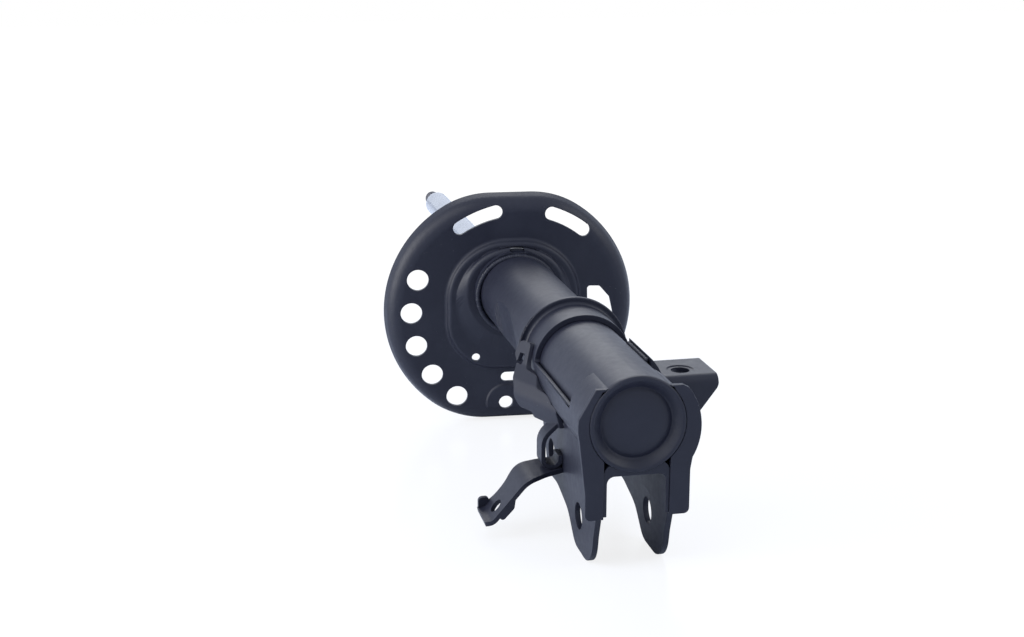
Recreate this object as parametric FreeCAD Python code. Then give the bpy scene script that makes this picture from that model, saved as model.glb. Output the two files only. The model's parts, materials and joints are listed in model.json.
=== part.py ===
import FreeCAD
import Part
import math
import os

# Front suspension strut, lying as it does on a bench. Lengths are in millimetres.
# Working frame: the damper axis is Y, the foot of the tube is at y = 0 and the rod end is +Y.
# Z is up, so the clevis ears hang down. The saved parts are moved so that the origin is
# the middle of the lower knuckle bolt.

# Reserve tube and its foot
TUBE_R = 25.5
TUBE_WALL = 2.0
TUBE_FOOT = 2.0
TUBE_TOP = 372.0
ROLLED_LIP = 2.5
ROLLED_LIP_REACH = 5.5
DENT_AT = 208.0
DENT_END = 232.0
DENT_DEPTH = 4.0
DENT_TURN = 190.0
DENT_PRESS_R = 170.0
CAP_RIM_DEPTH = 3.5
CAP_CREST_R = 23.4
CAP_VALLEY_R = 19.6
CAP_SKIRT_TOP = 11.0
CAP_THICKNESS = 2.6
CAP_VALLEY = 4.2
CAP_DOME_RISE = 3.4

# Damper inside
BORE_R = 16.0
BORE_WALL = 1.5
BASE_SKIRT_WALL = 4.0
BASE_FLANGE = 4.0
BASE_BODY = 10.0
BASE_FEET = 4.0
BASE_PORTS = 8
BASE_PORT_R = 1.6
BASE_PORT_CIRCLE = 11.5
RIVET_R = 3.0
RIVET_HEAD_R = 5.5
RIVET_HEAD = 2.5
CHECK_PLATE = 0.8
CHECK_LIFT = 1.2
CHECK_PLATE_R = 14.0
CHECK_HUB_R = 5.5
STOP_FLANGE = 1.6
STOP_FLANGE_R = 12.0
DISC_THICKNESS = 0.4
DISC_COUNT = 4
DISC_R = 12.0
DISC_STEP = 1.2

ROD_R = 10.0
ROD_SHOULDER = 604.0
STUD_R = 6.0
STUD_LENGTH = 28.0
STUD_CHAMFER = 1.0
STUD_NECK = 1.5
STUD_NECK_R = 5.3
SPIGOT_R = 5.0
HEX_SOCKET_WIDTH = 5.0
HEX_SOCKET_DEPTH = 6.0
PISTON_TOP = 296.0
PISTON_LENGTH = 20.0
PISTON_GAP = 0.4
PISTON_PORTS = 8
PISTON_PORT_R = 1.5
PISTON_PORT_CIRCLE = 10.5
BAND_LENGTH = 12.0
BAND_DEPTH = 1.5
NUT_FLATS = 18.0
NUT_HEIGHT = 10.0
PISTON_WASHER = 1.8
REBOUND_STOP = 7.0
REBOUND_STOP_R = 13.5
BUMPER = 10.0
BUMPER_R = 14.2

GUIDE_BOTTOM = 342.0
GUIDE_HEIGHT = 24.0
GUIDE_NECK = 6.0
BUSH_WALL = 1.2
BUSH_LENGTH = 14.0
SEAL_PLATE = 1.0
SEAL_HEIGHT = 7.0
SEAL_LIP_WALL = 2.2

# Spring seat: a dished pan that leans and stands off the tube's axis
SEAT_AT = 292.0
SEAT_SIDE_SHIFT = 2.4
SEAT_DROP = 17.5
SEAT_YAW = 3.5
SEAT_PITCH = 3.7
SEAT_SHEET = 2.4
PAN_FLOOR_R = 82.0
PAN_FLARE = 4.0
PAN_RIM_R = PAN_FLOOR_R + PAN_FLARE
PAN_DEPTH = 12.0
PAN_CORNER = 11.0
PAN_FLAT_CORE = 22.0
PAN_FLAT_ROUND = PAN_FLOOR_R - PAN_FLAT_CORE
PAN_SHIFT = -4.5
PAN_TOP_CUT = 4.0
PAN_LOW_CUT = 5.5
PAN_TOP_FLAT = PAN_RIM_R - PAN_TOP_CUT
PAN_LOW_FLAT = PAN_RIM_R - PAN_LOW_CUT
HAT_HALF = 46.0
HAT_SIDE = -3.0
HAT_UP = 6.0
HAT_LOW_ROUND = 35.0
HAT_HIGH_ROUND = 41.0
HAT_STEP = 3.6
HAT_STEP_SLOPE = 2.0
HAT_HEIGHT = 8.0
HAT_CROWN_R = 33.0
HAT_CONE_R = 42.0
HAT_FOOT_ROUND = 2.6
HAT_STEP_ROUND = 3.0
HAT_CROWN_ROUND = 3.5
COLLAR_WALL = 3.0
COLLAR_EDGE = 12.0
HOLE_INSET = 9.5
HOLE_CIRCLE_R = PAN_FLOOR_R - HOLE_INSET
ROUND_HOLE_R = 7.3
ROUND_HOLE_COUNT = 5
ROUND_HOLE_FIRST = 159.5
ROUND_HOLE_STEP = 18.9
SLOT_HALF_WIDTH = 4.5
SLOT_STARTS = (51.9, 102.0)
SLOT_SPANS = (19.8, 21.0)
WINDOW_CORNERS = ((48.3, 17.3), (56.8, 17.0), (64.0, 8.7), (66.5, -2.0), (66.0, -10.0), (49.0, -2.0))
WINDOW_ROUND = 2.0
DRAIN_HOLE_R = 2.8
DRAIN_HOLE_PLACE = (-28.8, -30.2)
LOW_HOLE_R = 4.9
LOW_HOLE_PLACE = (-7.4, -65.4)
LOW_SLOT_PLACE = (-7.5, -46.6)
LOW_SLOT_LENGTH = 22.0
LOW_SLOT_HALF_WIDTH = 3.4
PAD_R = 13.0
PAD_HEIGHT = 1.2
SEAT_NOTCH_WIDTH = 9.0
SEAT_NOTCH_HEIGHT = 2.7
WELD_R = 1.9

# Knuckle bracket: a sheet wrapped over the tube, with a flange at the foot and a lip at the top
BRACKET_SHEET = 3.2
BRACKET_FOOT = -1.0
BRACKET_TOP = 135.0
BAND_START = 108.0
LIP_R = 33.0
LIP_ROUND = 2.0
GAP_HALF = 17.5
CHEEK_TOP = 3.0
CHEEK_BEVEL = 1.0
CHEEK_BEVEL_DEPTH = 3.0
CHEEK_CORNER = 2.0
HORN_LENGTH = 28.0
HORN_ROUND_R = 22.0
HORN_TOP = 19.6
SHOULDER_START = 45.0
SHOULDER_END = 85.5
SHOULDER_EDGE_X = 20.0
FLANGE_RIGHT_R = 33.6
FLANGE_RIGHT_DROP = 3.0
FLANGE_RIGHT_WAIST = -19.5
FLANGE_RIGHT_EDGE = (28.2, -26.0)
FLANGE_LEFT_R = 31.4
FLANGE_LEFT_DROP = 0.0
FLANGE_LEFT_WAIST = -7.0
FLANGE_LEFT_EDGE = (27.3, -36.0)
FLANGE_LOW = -50.0
FLANGE_ROUND = 3.0
FLANGE_WAIST_ROUND = 12.0
FLANGE_LEFT_CUT = ((-31.6, 3.4), (-22.2, 20.0))
FLANGE_RIGHT_CUT = ((28.4, 16.8), (22.6, 19.9))
LOWER_BOLT = (37.0, -62.5)
UPPER_BOLT = (98.0, -47.5)
BOLT_HOLE_R = 7.25
EAR_OUTLINE = (
    (2.2, -50.0, 0.0),
    (6.5, -62.0, 10.0),
    (11.0, -81.4, 17.0),
    (44.0, -81.4, 14.0),
    (60.0, -67.5, 25.0),
    (84.0, -61.5, 30.0),
    (106.0, -62.5, 13.0),
    (122.0, -30.0, 20.0),
    (135.0, -22.0, 4.0),
)

# Gusset between the ears
GUSSET_SHEET = 1.8
GUSSET_START = 0.0
GUSSET_END = 66.0
GUSSET_LOW = -49.0
GUSSET_BEND = 4.0
GUSSET_TOP = -20.5

# Stabiliser link bracket on the right cheek
LINK_SHEET = 3.2
LINK_TOP = 8.0
LINK_EDGE_X = 58.3
LINK_START = 47.0
LINK_WIDTH = 37.0
LINK_BEND = 5.0
LINK_HOLE = (42.3, 61.7)
LINK_HOLE_R = 5.1
LINK_SPOT_R = 7.3
LINK_SPOT_DEPTH = 0.6
LINK_SIDE_CORNERS = ((59.6, 1.7), (49.8, -11.3), (33.0, -31.0))
LINK_CORNER_ROUND = 6.0

# Hose bracket on the left cheek: a strap that runs down from the band, loops out and carries an arm
STRAP_SHEET = 2.5
WING_SLANT = 0.42
WING_AT = 100.0
WING_PATH = (
    (-22.4, 12.0, 0.0),
    (-27.0, 0.0, 8.0),
    (-34.6, -7.0, 5.0),
    (-38.4, -14.0, 6.0),
    (-35.0, -26.0, 0.0),
)
WING_OUTLINE = (
    (115.5, 12.0, 3.0),
    (124.5, 12.0, 3.5),
    (125.5, 4.0, 4.0),
    (108.0, -11.5, 7.0),
    (105.0, -21.5, 4.0),
    (93.0, -21.5, 1.0),
    (93.0, -24.5, 1.5),
    (84.0, -24.5, 0.0),
    (70.0, -24.5, 0.0),
    (70.0, -12.5, 3.0),
    (74.0, -9.0, 4.0),
    (91.0, -7.5, 8.0),
    (99.0, -2.5, 8.0),
    (112.0, -1.5, 5.0),
)
WING_SLOT = (116.3, 121.0, -0.6, 5.2)
LOOP_START = 71.0
LOOP_END = 82.5
LOOP_PATH = (
    (-21.4, -18.9, 0.0),
    (-33.0, -29.6, 9.0),
    (-33.0, -48.6, 3.3),
    (-20.8, -47.6, 3.0),
    (-20.8, -40.5, 0.0),
)
ARM_PATH = (
    (-20.8, -47.7, 0.0),
    (-33.0, -48.7, 9.0),
    (-43.2, -50.0, 12.0),
    (-62.2, -71.9, 5.0),
    (-66.3, -72.8, 0.0),
)
ARM_START = 62.0
ARM_END = 91.0
ARM_OUTLINE = (
    (-20.0, 70.5, 0.0),
    (-20.0, ARM_END, 0.0),
    (-45.0, ARM_END - 1.0, 14.0),
    (-54.0, 82.0, 8.0),
    (-59.5, 86.5, 4.0),
    (-69.0, 86.5, 5.0),
    (-69.0, ARM_START, 7.0),
    (-41.0, ARM_START, 20.0),
    (-31.0, 67.0, 12.0),
)
ARM_LOBE = ((-65.8, -73.4, 0.0), (-65.8, -66.6, 2.4), (-60.6, -66.6, 2.0), (-58.8, -69.5, 0.0))
CLIP_HOLE = (-57.4, 72.5, -68.2)
CLIP_HOLE_R = 4.0
TAB_REACH = 7.5
TAB_START = -58.5
TAB_END = -49.0
TAB_ROUND = 3.0

# Weld beads on the bracket
BEAD_R = 1.5
BEAD_SINK = 0.5
SHOULDER_BEAD = (47.0, 83.5)
CLEVIS_BEAD = (70.0, 130.0)

# Fits between pieces
PRESS_GAP = 0.02
RUNNING_GAP = 0.05
SEAT_GAP = 0.05
LOOSE_GAP = 0.3
SHEET_GAP = 0.05

V = FreeCAD.Vector
AXIS = V(0, 1, 0)
FULL_TURN = 360.0


# Small drawing helpers

def rounded_wire(corners, closed=True):
    """Join flat (x, y, radius) corners with lines and rounding arcs."""
    points = [V(x, y, 0) for x, y, _ in corners]
    radii = [radius for _, _, radius in corners]
    count = len(points)
    ends = []
    for i in range(count):
        point = points[i]
        open_end = not closed and i in (0, count - 1)
        if radii[i] == 0 or open_end:
            ends.append((point, None, point))
            continue
        back = (points[i - 1] - point).normalize()
        ahead = (points[(i + 1) % count] - point).normalize()
        half = back.getAngle(ahead) / 2
        reach = radii[i] / math.tan(half)
        inward = (back + ahead).normalize()
        middle = point + inward * (radii[i] / math.sin(half) - radii[i])
        ends.append((point + back * reach, middle, point + ahead * reach))
    edges = []
    for i in range(count):
        start, middle, finish = ends[i]
        if middle is not None:
            edges.append(Part.Arc(start, middle, finish).toShape())
        if i == count - 1 and not closed:
            break
        following = ends[(i + 1) % count][0]
        if finish.distanceToPoint(following) > 1e-6:
            edges.append(Part.makeLine(finish, following))
    return Part.Wire(edges)


def sheet_section(path, thickness):
    """Closed outline of a bent sheet that lies to the left of an open path of (x, y, radius)."""
    count = len(path)
    near = []
    far = []
    for i in range(count):
        x, y, radius = path[i]
        before = path[max(i - 1, 0)]
        after = path[min(i + 1, count - 1)]
        here = V(x, y, 0)
        come = (here - V(before[0], before[1], 0)) if i else None
        leave = (V(after[0], after[1], 0) - here) if i < count - 1 else None
        come = (come or leave).normalize()
        leave = (leave or come).normalize()
        left_come = V(-come.y, come.x, 0)
        left_leave = V(-leave.y, leave.x, 0)
        mitre = left_come + left_leave
        mitre = mitre * (2 * thickness / mitre.dot(mitre))
        turns_left = come.x * leave.y - come.y * leave.x > 0
        inner = radius if turns_left else radius + thickness
        outer = radius + thickness if turns_left else radius
        near.append((x, y, outer if radius else 0))
        far.append((x + mitre.x, y + mitre.y, inner if radius else 0))
    return rounded_wire(near + far[::-1])


def turned(corners):
    """Revolve a closed outline of (radius, station, rounding) about the damper axis."""
    return Part.Face(rounded_wire(corners)).revolve(V(0, 0, 0), AXIS, FULL_TURN)


def ring(inner, outer, start, end):
    """A plain ring about the damper axis between two stations."""
    body = Part.makeCylinder(outer, end - start, V(0, start, 0), AXIS)
    if inner > 0:
        body = body.cut(Part.makeCylinder(inner, end - start, V(0, start, 0), AXIS))
    return body


def across(wire, start, end):
    """Extrude an outline drawn as (x, z) along the damper axis from start to end."""
    face = Part.Face(wire)
    face.rotate(V(0, 0, 0), V(1, 0, 0), 90)
    face.translate(V(0, start, 0))
    return face.extrude(V(0, end - start, 0))


def sideways(wire, left, right):
    """Extrude an outline drawn as (y, z) along X from left to right."""
    face = Part.Face(wire)
    face.rotate(V(0, 0, 0), V(1, 1, 1), 120)
    face.translate(V(left, 0, 0))
    return face.extrude(V(right - left, 0, 0))


def box(low, high):
    """A block between two corners."""
    size = [b - a for a, b in zip(low, high)]
    return Part.makeBox(*size, V(*low))


def ports(count, circle, radius, start, end):
    """Round ports on a circle about the damper axis."""
    holes = []
    for i in range(count):
        angle = 2 * math.pi * i / count
        place = V(circle * math.cos(angle), start, circle * math.sin(angle))
        holes.append(Part.makeCylinder(radius, end - start, place, AXIS))
    return Part.makeCompound(holes)


def hexagon(flats, start, end):
    """A hexagonal bar about the damper axis."""
    corner = flats / math.sqrt(3)
    points = []
    for i in range(6):
        angle = math.radians(60 * i)
        points.append((corner * math.cos(angle), corner * math.sin(angle), 0))
    return across(rounded_wire(points), start, end)


def joined(first, *others):
    """Fuse pieces and merge the faces that run on."""
    return first.fuse(list(others)).removeSplitter()


# Reserve tube

def dent_press(skin):
    """Press block for the tyre clearance: a large round that ends in a steep step."""
    middle = TUBE_R - DENT_DEPTH + DENT_PRESS_R
    drum = Part.makeCylinder(DENT_PRESS_R + skin, 4 * TUBE_R, V(middle, DENT_AT, -2 * TUBE_R))
    deep = 2 * DENT_DEPTH
    end = DENT_END + skin * math.sqrt(2)
    reach = DENT_PRESS_R / 2
    keep = Part.Face(rounded_wire((
        (TUBE_R - deep, DENT_AT - reach, 0),
        (2 * TUBE_R, DENT_AT - reach, 0),
        (2 * TUBE_R, end + TUBE_R, 0),
        (TUBE_R - deep, end - deep, 0),
    )))
    keep.translate(V(0, 0, -2 * TUBE_R))
    press = drum.common(keep.extrude(V(0, 0, 4 * TUBE_R)))
    press.rotate(V(0, 0, 0), AXIS, -DENT_TURN)
    return press


def tube_blank(radius, start, end, skin):
    """The tube's round blank with the side pressed in for tyre clearance."""
    blank = Part.makeCylinder(radius, end - start, V(0, start, 0), AXIS)
    return blank.cut(dent_press(skin))


def reserve_tube():
    outside = tube_blank(TUBE_R, TUBE_FOOT, TUBE_TOP, 0.0)
    inner_r = TUBE_R - TUBE_WALL
    inside = tube_blank(inner_r, TUBE_FOOT, TUBE_TOP - ROLLED_LIP, TUBE_WALL)
    mouth = ring(0, TUBE_R - ROLLED_LIP_REACH, TUBE_TOP - ROLLED_LIP, TUBE_TOP)
    tube = outside.cut(inside).cut(mouth)
    top_edges = []
    for edge in tube.Edges:
        flat = edge.BoundBox.YLength < 0.01 and abs(edge.BoundBox.YMax - TUBE_TOP) < 0.01
        if flat and edge.BoundBox.XMax > TUBE_R - 0.1:
            top_edges.append(edge)
    return tube.makeFillet(ROLLED_LIP * 0.8, top_edges)


def base_cap():
    """Dished cap: a rolled rim over the tube's end, a valley, a shallow dome and a skirt inside."""
    rim_front = TUBE_FOOT - CAP_RIM_DEPTH
    skirt_r = TUBE_R - TUBE_WALL - PRESS_GAP
    valley = rim_front + CAP_VALLEY
    dome_front = valley - CAP_DOME_RISE
    inside = skirt_r - CAP_THICKNESS
    outline = (
        (0, dome_front, 0),
        (CAP_VALLEY_R * 0.62, dome_front, 30.0),
        (CAP_VALLEY_R, valley, 2.2),
        (CAP_CREST_R, rim_front, 2.6),
        (TUBE_R, rim_front, 1.0),
        (TUBE_R, TUBE_FOOT, 0),
        (skirt_r, TUBE_FOOT, 0),
        (skirt_r, CAP_SKIRT_TOP, 0),
        (inside, CAP_SKIRT_TOP, 0),
        (inside, valley + CAP_THICKNESS, 1.0),
        (CAP_VALLEY_R * 0.7, valley + CAP_THICKNESS, 4.0),
        (CAP_VALLEY_R * 0.5, dome_front + CAP_THICKNESS, 4.0),
        (0, dome_front + CAP_THICKNESS, 0),
    )
    return turned(outline)


# Damper inside

def stations():
    """Where the inner pieces stand along the axis, from the foot up."""
    feet = CAP_SKIRT_TOP + SEAT_GAP
    under = feet + BASE_FEET
    flange_top = under + BASE_FLANGE
    body_top = flange_top + BASE_BODY
    stop = body_top + SEAT_GAP + CHECK_PLATE + CHECK_LIFT + LOOSE_GAP
    return {"feet": feet, "under": under, "flange": flange_top, "body": body_top, "stop": stop}


def inner_cylinder():
    return ring(BORE_R, BORE_R + BORE_WALL, stations()["flange"], GUIDE_BOTTOM + GUIDE_NECK)


def base_valve_body():
    """Foot valve: a plug for the cylinder with a slotted skirt that stands on the cap."""
    at = stations()
    skirt_r = TUBE_R - TUBE_WALL - CAP_THICKNESS / 2
    flange = ring(0, skirt_r, at["under"], at["flange"])
    plug = ring(0, BORE_R - PRESS_GAP, at["flange"], at["body"])
    skirt = ring(skirt_r - BASE_SKIRT_WALL, skirt_r, at["feet"], at["under"])
    body = joined(flange, plug, skirt)
    body = body.cut(ring(0, RIVET_R + PRESS_GAP, at["feet"], at["body"]))
    body = body.cut(ports(BASE_PORTS, BASE_PORT_CIRCLE, BASE_PORT_R, at["under"], at["body"]))
    slot_half = 3.0
    for turn in (0, 90):
        slot = box((-BORE_R * 2, at["feet"], -slot_half), (BORE_R * 2, at["under"] - 1.0, slot_half))
        slot.rotate(V(0, 0, 0), AXIS, turn)
        body = body.cut(slot)
    return body


def disc_stack(face, direction, bore):
    """A stack of thin discs that get smaller away from the face that they close."""
    discs = []
    for i in range(DISC_COUNT):
        near = face + direction * DISC_THICKNESS * i
        start = min(near, near + direction * DISC_THICKNESS)
        discs.append(ring(bore, DISC_R - DISC_STEP * i, start, start + DISC_THICKNESS))
    return Part.makeCompound(discs)


def base_valve_discs():
    return disc_stack(stations()["under"], -1, RIVET_R + PRESS_GAP)


def base_valve_rivet():
    at = stations()
    low = at["under"] - DISC_COUNT * DISC_THICKNESS
    high = at["stop"] + STOP_FLANGE
    shank = ring(0, RIVET_R, low, high)
    foot_head = ring(0, DISC_R - DISC_STEP * DISC_COUNT, low - 1.6, low)
    top_head = ring(0, RIVET_HEAD_R - 0.5, high, high + RIVET_HEAD)
    top_edge = [edge for edge in top_head.Edges if abs(edge.BoundBox.YMin - high - RIVET_HEAD) < 0.01]
    return joined(shank, foot_head, top_head.makeFillet(1.2, top_edge[:1]))


def check_plate(face, hub_r):
    """A thin ring plate that lifts off the ports when oil flows up through them."""
    return ring(hub_r + LOOSE_GAP, CHECK_PLATE_R, face + SEAT_GAP, face + SEAT_GAP + CHECK_PLATE)


def base_check_plate():
    return check_plate(stations()["body"], CHECK_HUB_R)


def base_check_stop():
    at = stations()
    hub = ring(RIVET_R + PRESS_GAP, CHECK_HUB_R, at["body"], at["stop"])
    flange = ring(RIVET_R + PRESS_GAP, STOP_FLANGE_R, at["stop"], at["stop"] + STOP_FLANGE)
    return joined(hub, flange).cut(ports(6, 9.0, 1.6, at["stop"], at["stop"] + STOP_FLANGE))


def rod_guide():
    """Stepped ring that closes both tubes and carries the bush and the seal."""
    bush_seat = ROD_R + RUNNING_GAP + BUSH_WALL + PRESS_GAP
    cup_r = ROD_R + SEAL_LIP_WALL + 4.0
    seal_floor = GUIDE_BOTTOM + GUIDE_HEIGHT - SEAL_HEIGHT - SEAT_GAP
    outline = (
        (bush_seat, GUIDE_BOTTOM, 0),
        (BORE_R - PRESS_GAP, GUIDE_BOTTOM, 0),
        (BORE_R - PRESS_GAP, GUIDE_BOTTOM + GUIDE_NECK, 0),
        (TUBE_R - TUBE_WALL - PRESS_GAP, GUIDE_BOTTOM + GUIDE_NECK, 2.0),
        (TUBE_R - TUBE_WALL - PRESS_GAP, GUIDE_BOTTOM + GUIDE_HEIGHT, 0),
        (cup_r, GUIDE_BOTTOM + GUIDE_HEIGHT, 0),
        (cup_r, seal_floor, 0),
        (bush_seat, seal_floor, 0),
    )
    return turned(outline)


def guide_bush():
    start = GUIDE_BOTTOM + 1.0
    return ring(ROD_R + RUNNING_GAP, ROD_R + RUNNING_GAP + BUSH_WALL, start, start + BUSH_LENGTH)


def seal_plate():
    """Steel washer under the rolled lip that backs the rubber seal."""
    start = GUIDE_BOTTOM + GUIDE_HEIGHT
    return ring(ROD_R + 1.0, TUBE_R - TUBE_WALL - PRESS_GAP, start, start + SEAL_PLATE)


def rod_seal():
    """Rubber seal: an oil lip in the guide's cup and a scraper lip over the washer."""
    top = GUIDE_BOTTOM + GUIDE_HEIGHT
    lip_r = ROD_R + RUNNING_GAP
    cup_r = ROD_R + SEAL_LIP_WALL + 4.0 - SEAT_GAP
    oil_lip = turned((
        (lip_r, top - SEAL_HEIGHT, 0),
        (lip_r + SEAL_LIP_WALL, top - SEAL_HEIGHT, 0.5),
        (lip_r + SEAL_LIP_WALL + 0.6, top - 2.5, 0.8),
        (cup_r, top - 2.5, 0.5),
        (cup_r, top, 0),
        (lip_r, top, 0),
    ))
    neck = ring(lip_r, ROD_R + 1.0 - PRESS_GAP, top, top + SEAL_PLATE)
    scraper_base = top + SEAL_PLATE
    lip_height = 3.8
    scraper = turned((
        (lip_r, scraper_base, 0),
        (TUBE_R - ROLLED_LIP_REACH - LOOSE_GAP, scraper_base, 0),
        (TUBE_R - ROLLED_LIP_REACH - LOOSE_GAP, scraper_base + 1.6, 0.6),
        (ROD_R + 3.4, scraper_base + 1.6, 1.2),
        (ROD_R + 1.4, scraper_base + lip_height, 0.4),
        (lip_r, scraper_base + lip_height, 0),
    ))
    return joined(oil_lip, neck, scraper)


# Piston rod and what it carries

def piston_rod():
    shoulder = piston_stack()["shoulder"]
    foot = piston_stack()["spigot"]
    stud_top = ROD_SHOULDER + STUD_LENGTH
    shaft = turned((
        (0, shoulder, 0),
        (ROD_R, shoulder, 0),
        (ROD_R, ROD_SHOULDER - 1.5, 0),
        (ROD_R - 1.5, ROD_SHOULDER, 0),
        (0, ROD_SHOULDER, 0),
    ))
    stud = turned((
        (0, ROD_SHOULDER, 0),
        (STUD_NECK_R, ROD_SHOULDER, 0),
        (STUD_NECK_R, ROD_SHOULDER + STUD_NECK, 0),
        (STUD_R, ROD_SHOULDER + STUD_NECK, 0),
        (STUD_R, stud_top - STUD_CHAMFER, 0),
        (STUD_R - STUD_CHAMFER, stud_top, 0),
        (0, stud_top, 0),
    ))
    spigot = ring(0, SPIGOT_R - PRESS_GAP, foot, shoulder)
    socket = hexagon(HEX_SOCKET_WIDTH, stud_top - HEX_SOCKET_DEPTH, stud_top)
    return joined(shaft, stud, spigot).cut(socket)


def piston_stack():
    """Stations of the pieces stacked on the rod's spigot, from its shoulder down."""
    stop = PISTON_TOP + SEAT_GAP + CHECK_PLATE + CHECK_LIFT + LOOSE_GAP
    bottom = PISTON_TOP - PISTON_LENGTH
    washer = bottom - DISC_COUNT * DISC_THICKNESS
    nut = washer - PISTON_WASHER
    spigot = nut - NUT_HEIGHT - 2.0
    return {"shoulder": stop + STOP_FLANGE, "stop": stop, "bottom": bottom, "washer": washer,
            "nut": nut, "spigot": spigot}


def piston():
    """Sintered piston with ports and a wide groove for its band."""
    at = piston_stack()
    outer = BORE_R - PISTON_GAP
    floor = BORE_R - BAND_DEPTH - RUNNING_GAP * 2
    middle = PISTON_TOP - PISTON_LENGTH / 2
    groove_low = middle - BAND_LENGTH / 2
    groove_high = middle + BAND_LENGTH / 2
    body = turned((
        (SPIGOT_R, at["bottom"], 0),
        (outer, at["bottom"], 1.0),
        (outer, groove_low, 0),
        (floor, groove_low, 0),
        (floor, groove_high, 0),
        (outer, groove_high, 0),
        (outer, PISTON_TOP, 1.0),
        (SPIGOT_R, PISTON_TOP, 0),
    ))
    return body.cut(ports(PISTON_PORTS, PISTON_PORT_CIRCLE, PISTON_PORT_R, at["bottom"], PISTON_TOP))


def piston_band():
    middle = PISTON_TOP - PISTON_LENGTH / 2
    half = BAND_LENGTH / 2 - LOOSE_GAP
    outer = BORE_R - RUNNING_GAP
    inner = BORE_R - BAND_DEPTH - RUNNING_GAP
    return ring(inner, outer, middle - half, middle + half)


def piston_check_plate():
    return check_plate(PISTON_TOP, CHECK_HUB_R + SPIGOT_R - RIVET_R)


def piston_check_stop():
    at = piston_stack()
    hub_r = CHECK_HUB_R + SPIGOT_R - RIVET_R
    hub = ring(SPIGOT_R, hub_r, PISTON_TOP, at["stop"])
    flange = ring(SPIGOT_R, STOP_FLANGE_R + 1.0, at["stop"], at["shoulder"])
    return joined(hub, flange)


def rebound_discs():
    return disc_stack(piston_stack()["bottom"], -1, SPIGOT_R)


def piston_washer():
    at = piston_stack()
    return ring(SPIGOT_R, DISC_R - DISC_STEP * DISC_COUNT + 2.0, at["nut"], at["washer"])


def piston_nut():
    at = piston_stack()
    nut = hexagon(NUT_FLATS, at["nut"] - NUT_HEIGHT, at["nut"])
    cone = turned((
        (0, at["nut"] - NUT_HEIGHT, 0),
        (NUT_FLATS / 2, at["nut"] - NUT_HEIGHT, 0),
        (NUT_FLATS / 2 + 3.0, at["nut"] - NUT_HEIGHT + 1.8, 0),
        (NUT_FLATS / 2 + 3.0, at["nut"], 0),
        (0, at["nut"], 0),
    ))
    return nut.common(cone).cut(ring(0, SPIGOT_R, at["nut"] - NUT_HEIGHT, at["nut"]))


def rebound_stop():
    """Steel ring swaged on the rod, which carries the rebound bumper to the guide."""
    top = GUIDE_BOTTOM - LOOSE_GAP - BUMPER
    return turned((
        (ROD_R, top - REBOUND_STOP, 0),
        (REBOUND_STOP_R - 1.5, top - REBOUND_STOP, 1.0),
        (REBOUND_STOP_R, top - REBOUND_STOP + 3.0, 1.0),
        (REBOUND_STOP_R, top, 0),
        (ROD_R, top, 0),
    ))


def rebound_bumper():
    top = GUIDE_BOTTOM - LOOSE_GAP
    return turned((
        (ROD_R + PRESS_GAP, top - BUMPER, 0),
        (BUMPER_R, top - BUMPER, 1.5),
        (BUMPER_R - 1.2, top - BUMPER / 2, 3.0),
        (BUMPER_R, top, 1.5),
        (ROD_R + PRESS_GAP, top, 0),
    ))


# Spring seat, drawn flat in its own frame with the foot side up, then leaned into place

def seat_placement():
    lean = FreeCAD.Rotation(V(0, 0, 1), -SEAT_YAW) * FreeCAD.Rotation(V(1, 0, 0), 90 + SEAT_PITCH)
    return FreeCAD.Placement(V(SEAT_SIDE_SHIFT, SEAT_AT, -SEAT_DROP), lean)


def pan_outline(inset, height):
    """The pan seen along its axis: a circle whose top and bottom are flattened, with soft corners."""
    shrink = inset + PAN_FLAT_ROUND
    core = Part.Face(Part.Wire(Part.makeCircle(PAN_RIM_R - shrink, V(PAN_SHIFT, 0, 0))))
    low = PAN_LOW_FLAT - shrink
    strip = Part.makePlane(2 * PAN_RIM_R, PAN_TOP_FLAT - shrink + low, V(-PAN_RIM_R, -low, 0))
    outline = core.common(strip).Faces[0].makeOffset2D(PAN_FLAT_ROUND).OuterWire
    outline.translate(V(0, 0, height))
    return outline


def pan_blank(skin):
    """The pan's solid block, shrunk by a skin: a tapered disc with a rounded corner."""
    block = Part.makeLoft([pan_outline(PAN_FLARE + skin, -skin), pan_outline(skin, -PAN_DEPTH)], True)
    return block.makeFillet(PAN_CORNER - skin, edges_at(block, -skin))


def edges_at(shape, height):
    """Edges that lie flat at one height of a piece drawn with Z up."""
    found = []
    for edge in shape.Edges:
        bounds = edge.BoundBox
        if abs(bounds.ZMin - height) < 0.01 and abs(bounds.ZMax - height) < 0.01:
            found.append(edge)
    return found


def hat_outline(inset, height):
    """The hat's foot seen along the seat's axis: a square with big round corners."""
    half = HAT_HALF - inset
    low_round = HAT_LOW_ROUND - inset
    high_round = HAT_HIGH_ROUND - inset
    wire = rounded_wire((
        (HAT_SIDE - half, HAT_UP - half, low_round),
        (HAT_SIDE + half, HAT_UP - half, low_round),
        (HAT_SIDE + half, HAT_UP + half, high_round),
        (HAT_SIDE - half, HAT_UP + half, high_round),
    ))
    wire.translate(V(0, 0, height))
    return wire


def hat_step(skin):
    """The hat's low outer wall, which slopes inwards."""
    lean = HAT_STEP_SLOPE / HAT_STEP
    side = skin * math.sqrt(1 + lean * lean)
    deep = -SEAT_SHEET * 2 - skin
    top = HAT_STEP - skin
    step = Part.makeLoft([hat_outline(side + lean * deep, deep), hat_outline(side + lean * top, top)], True)
    return step.makeFillet(HAT_STEP_ROUND - skin, edges_at(step, top))


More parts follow.
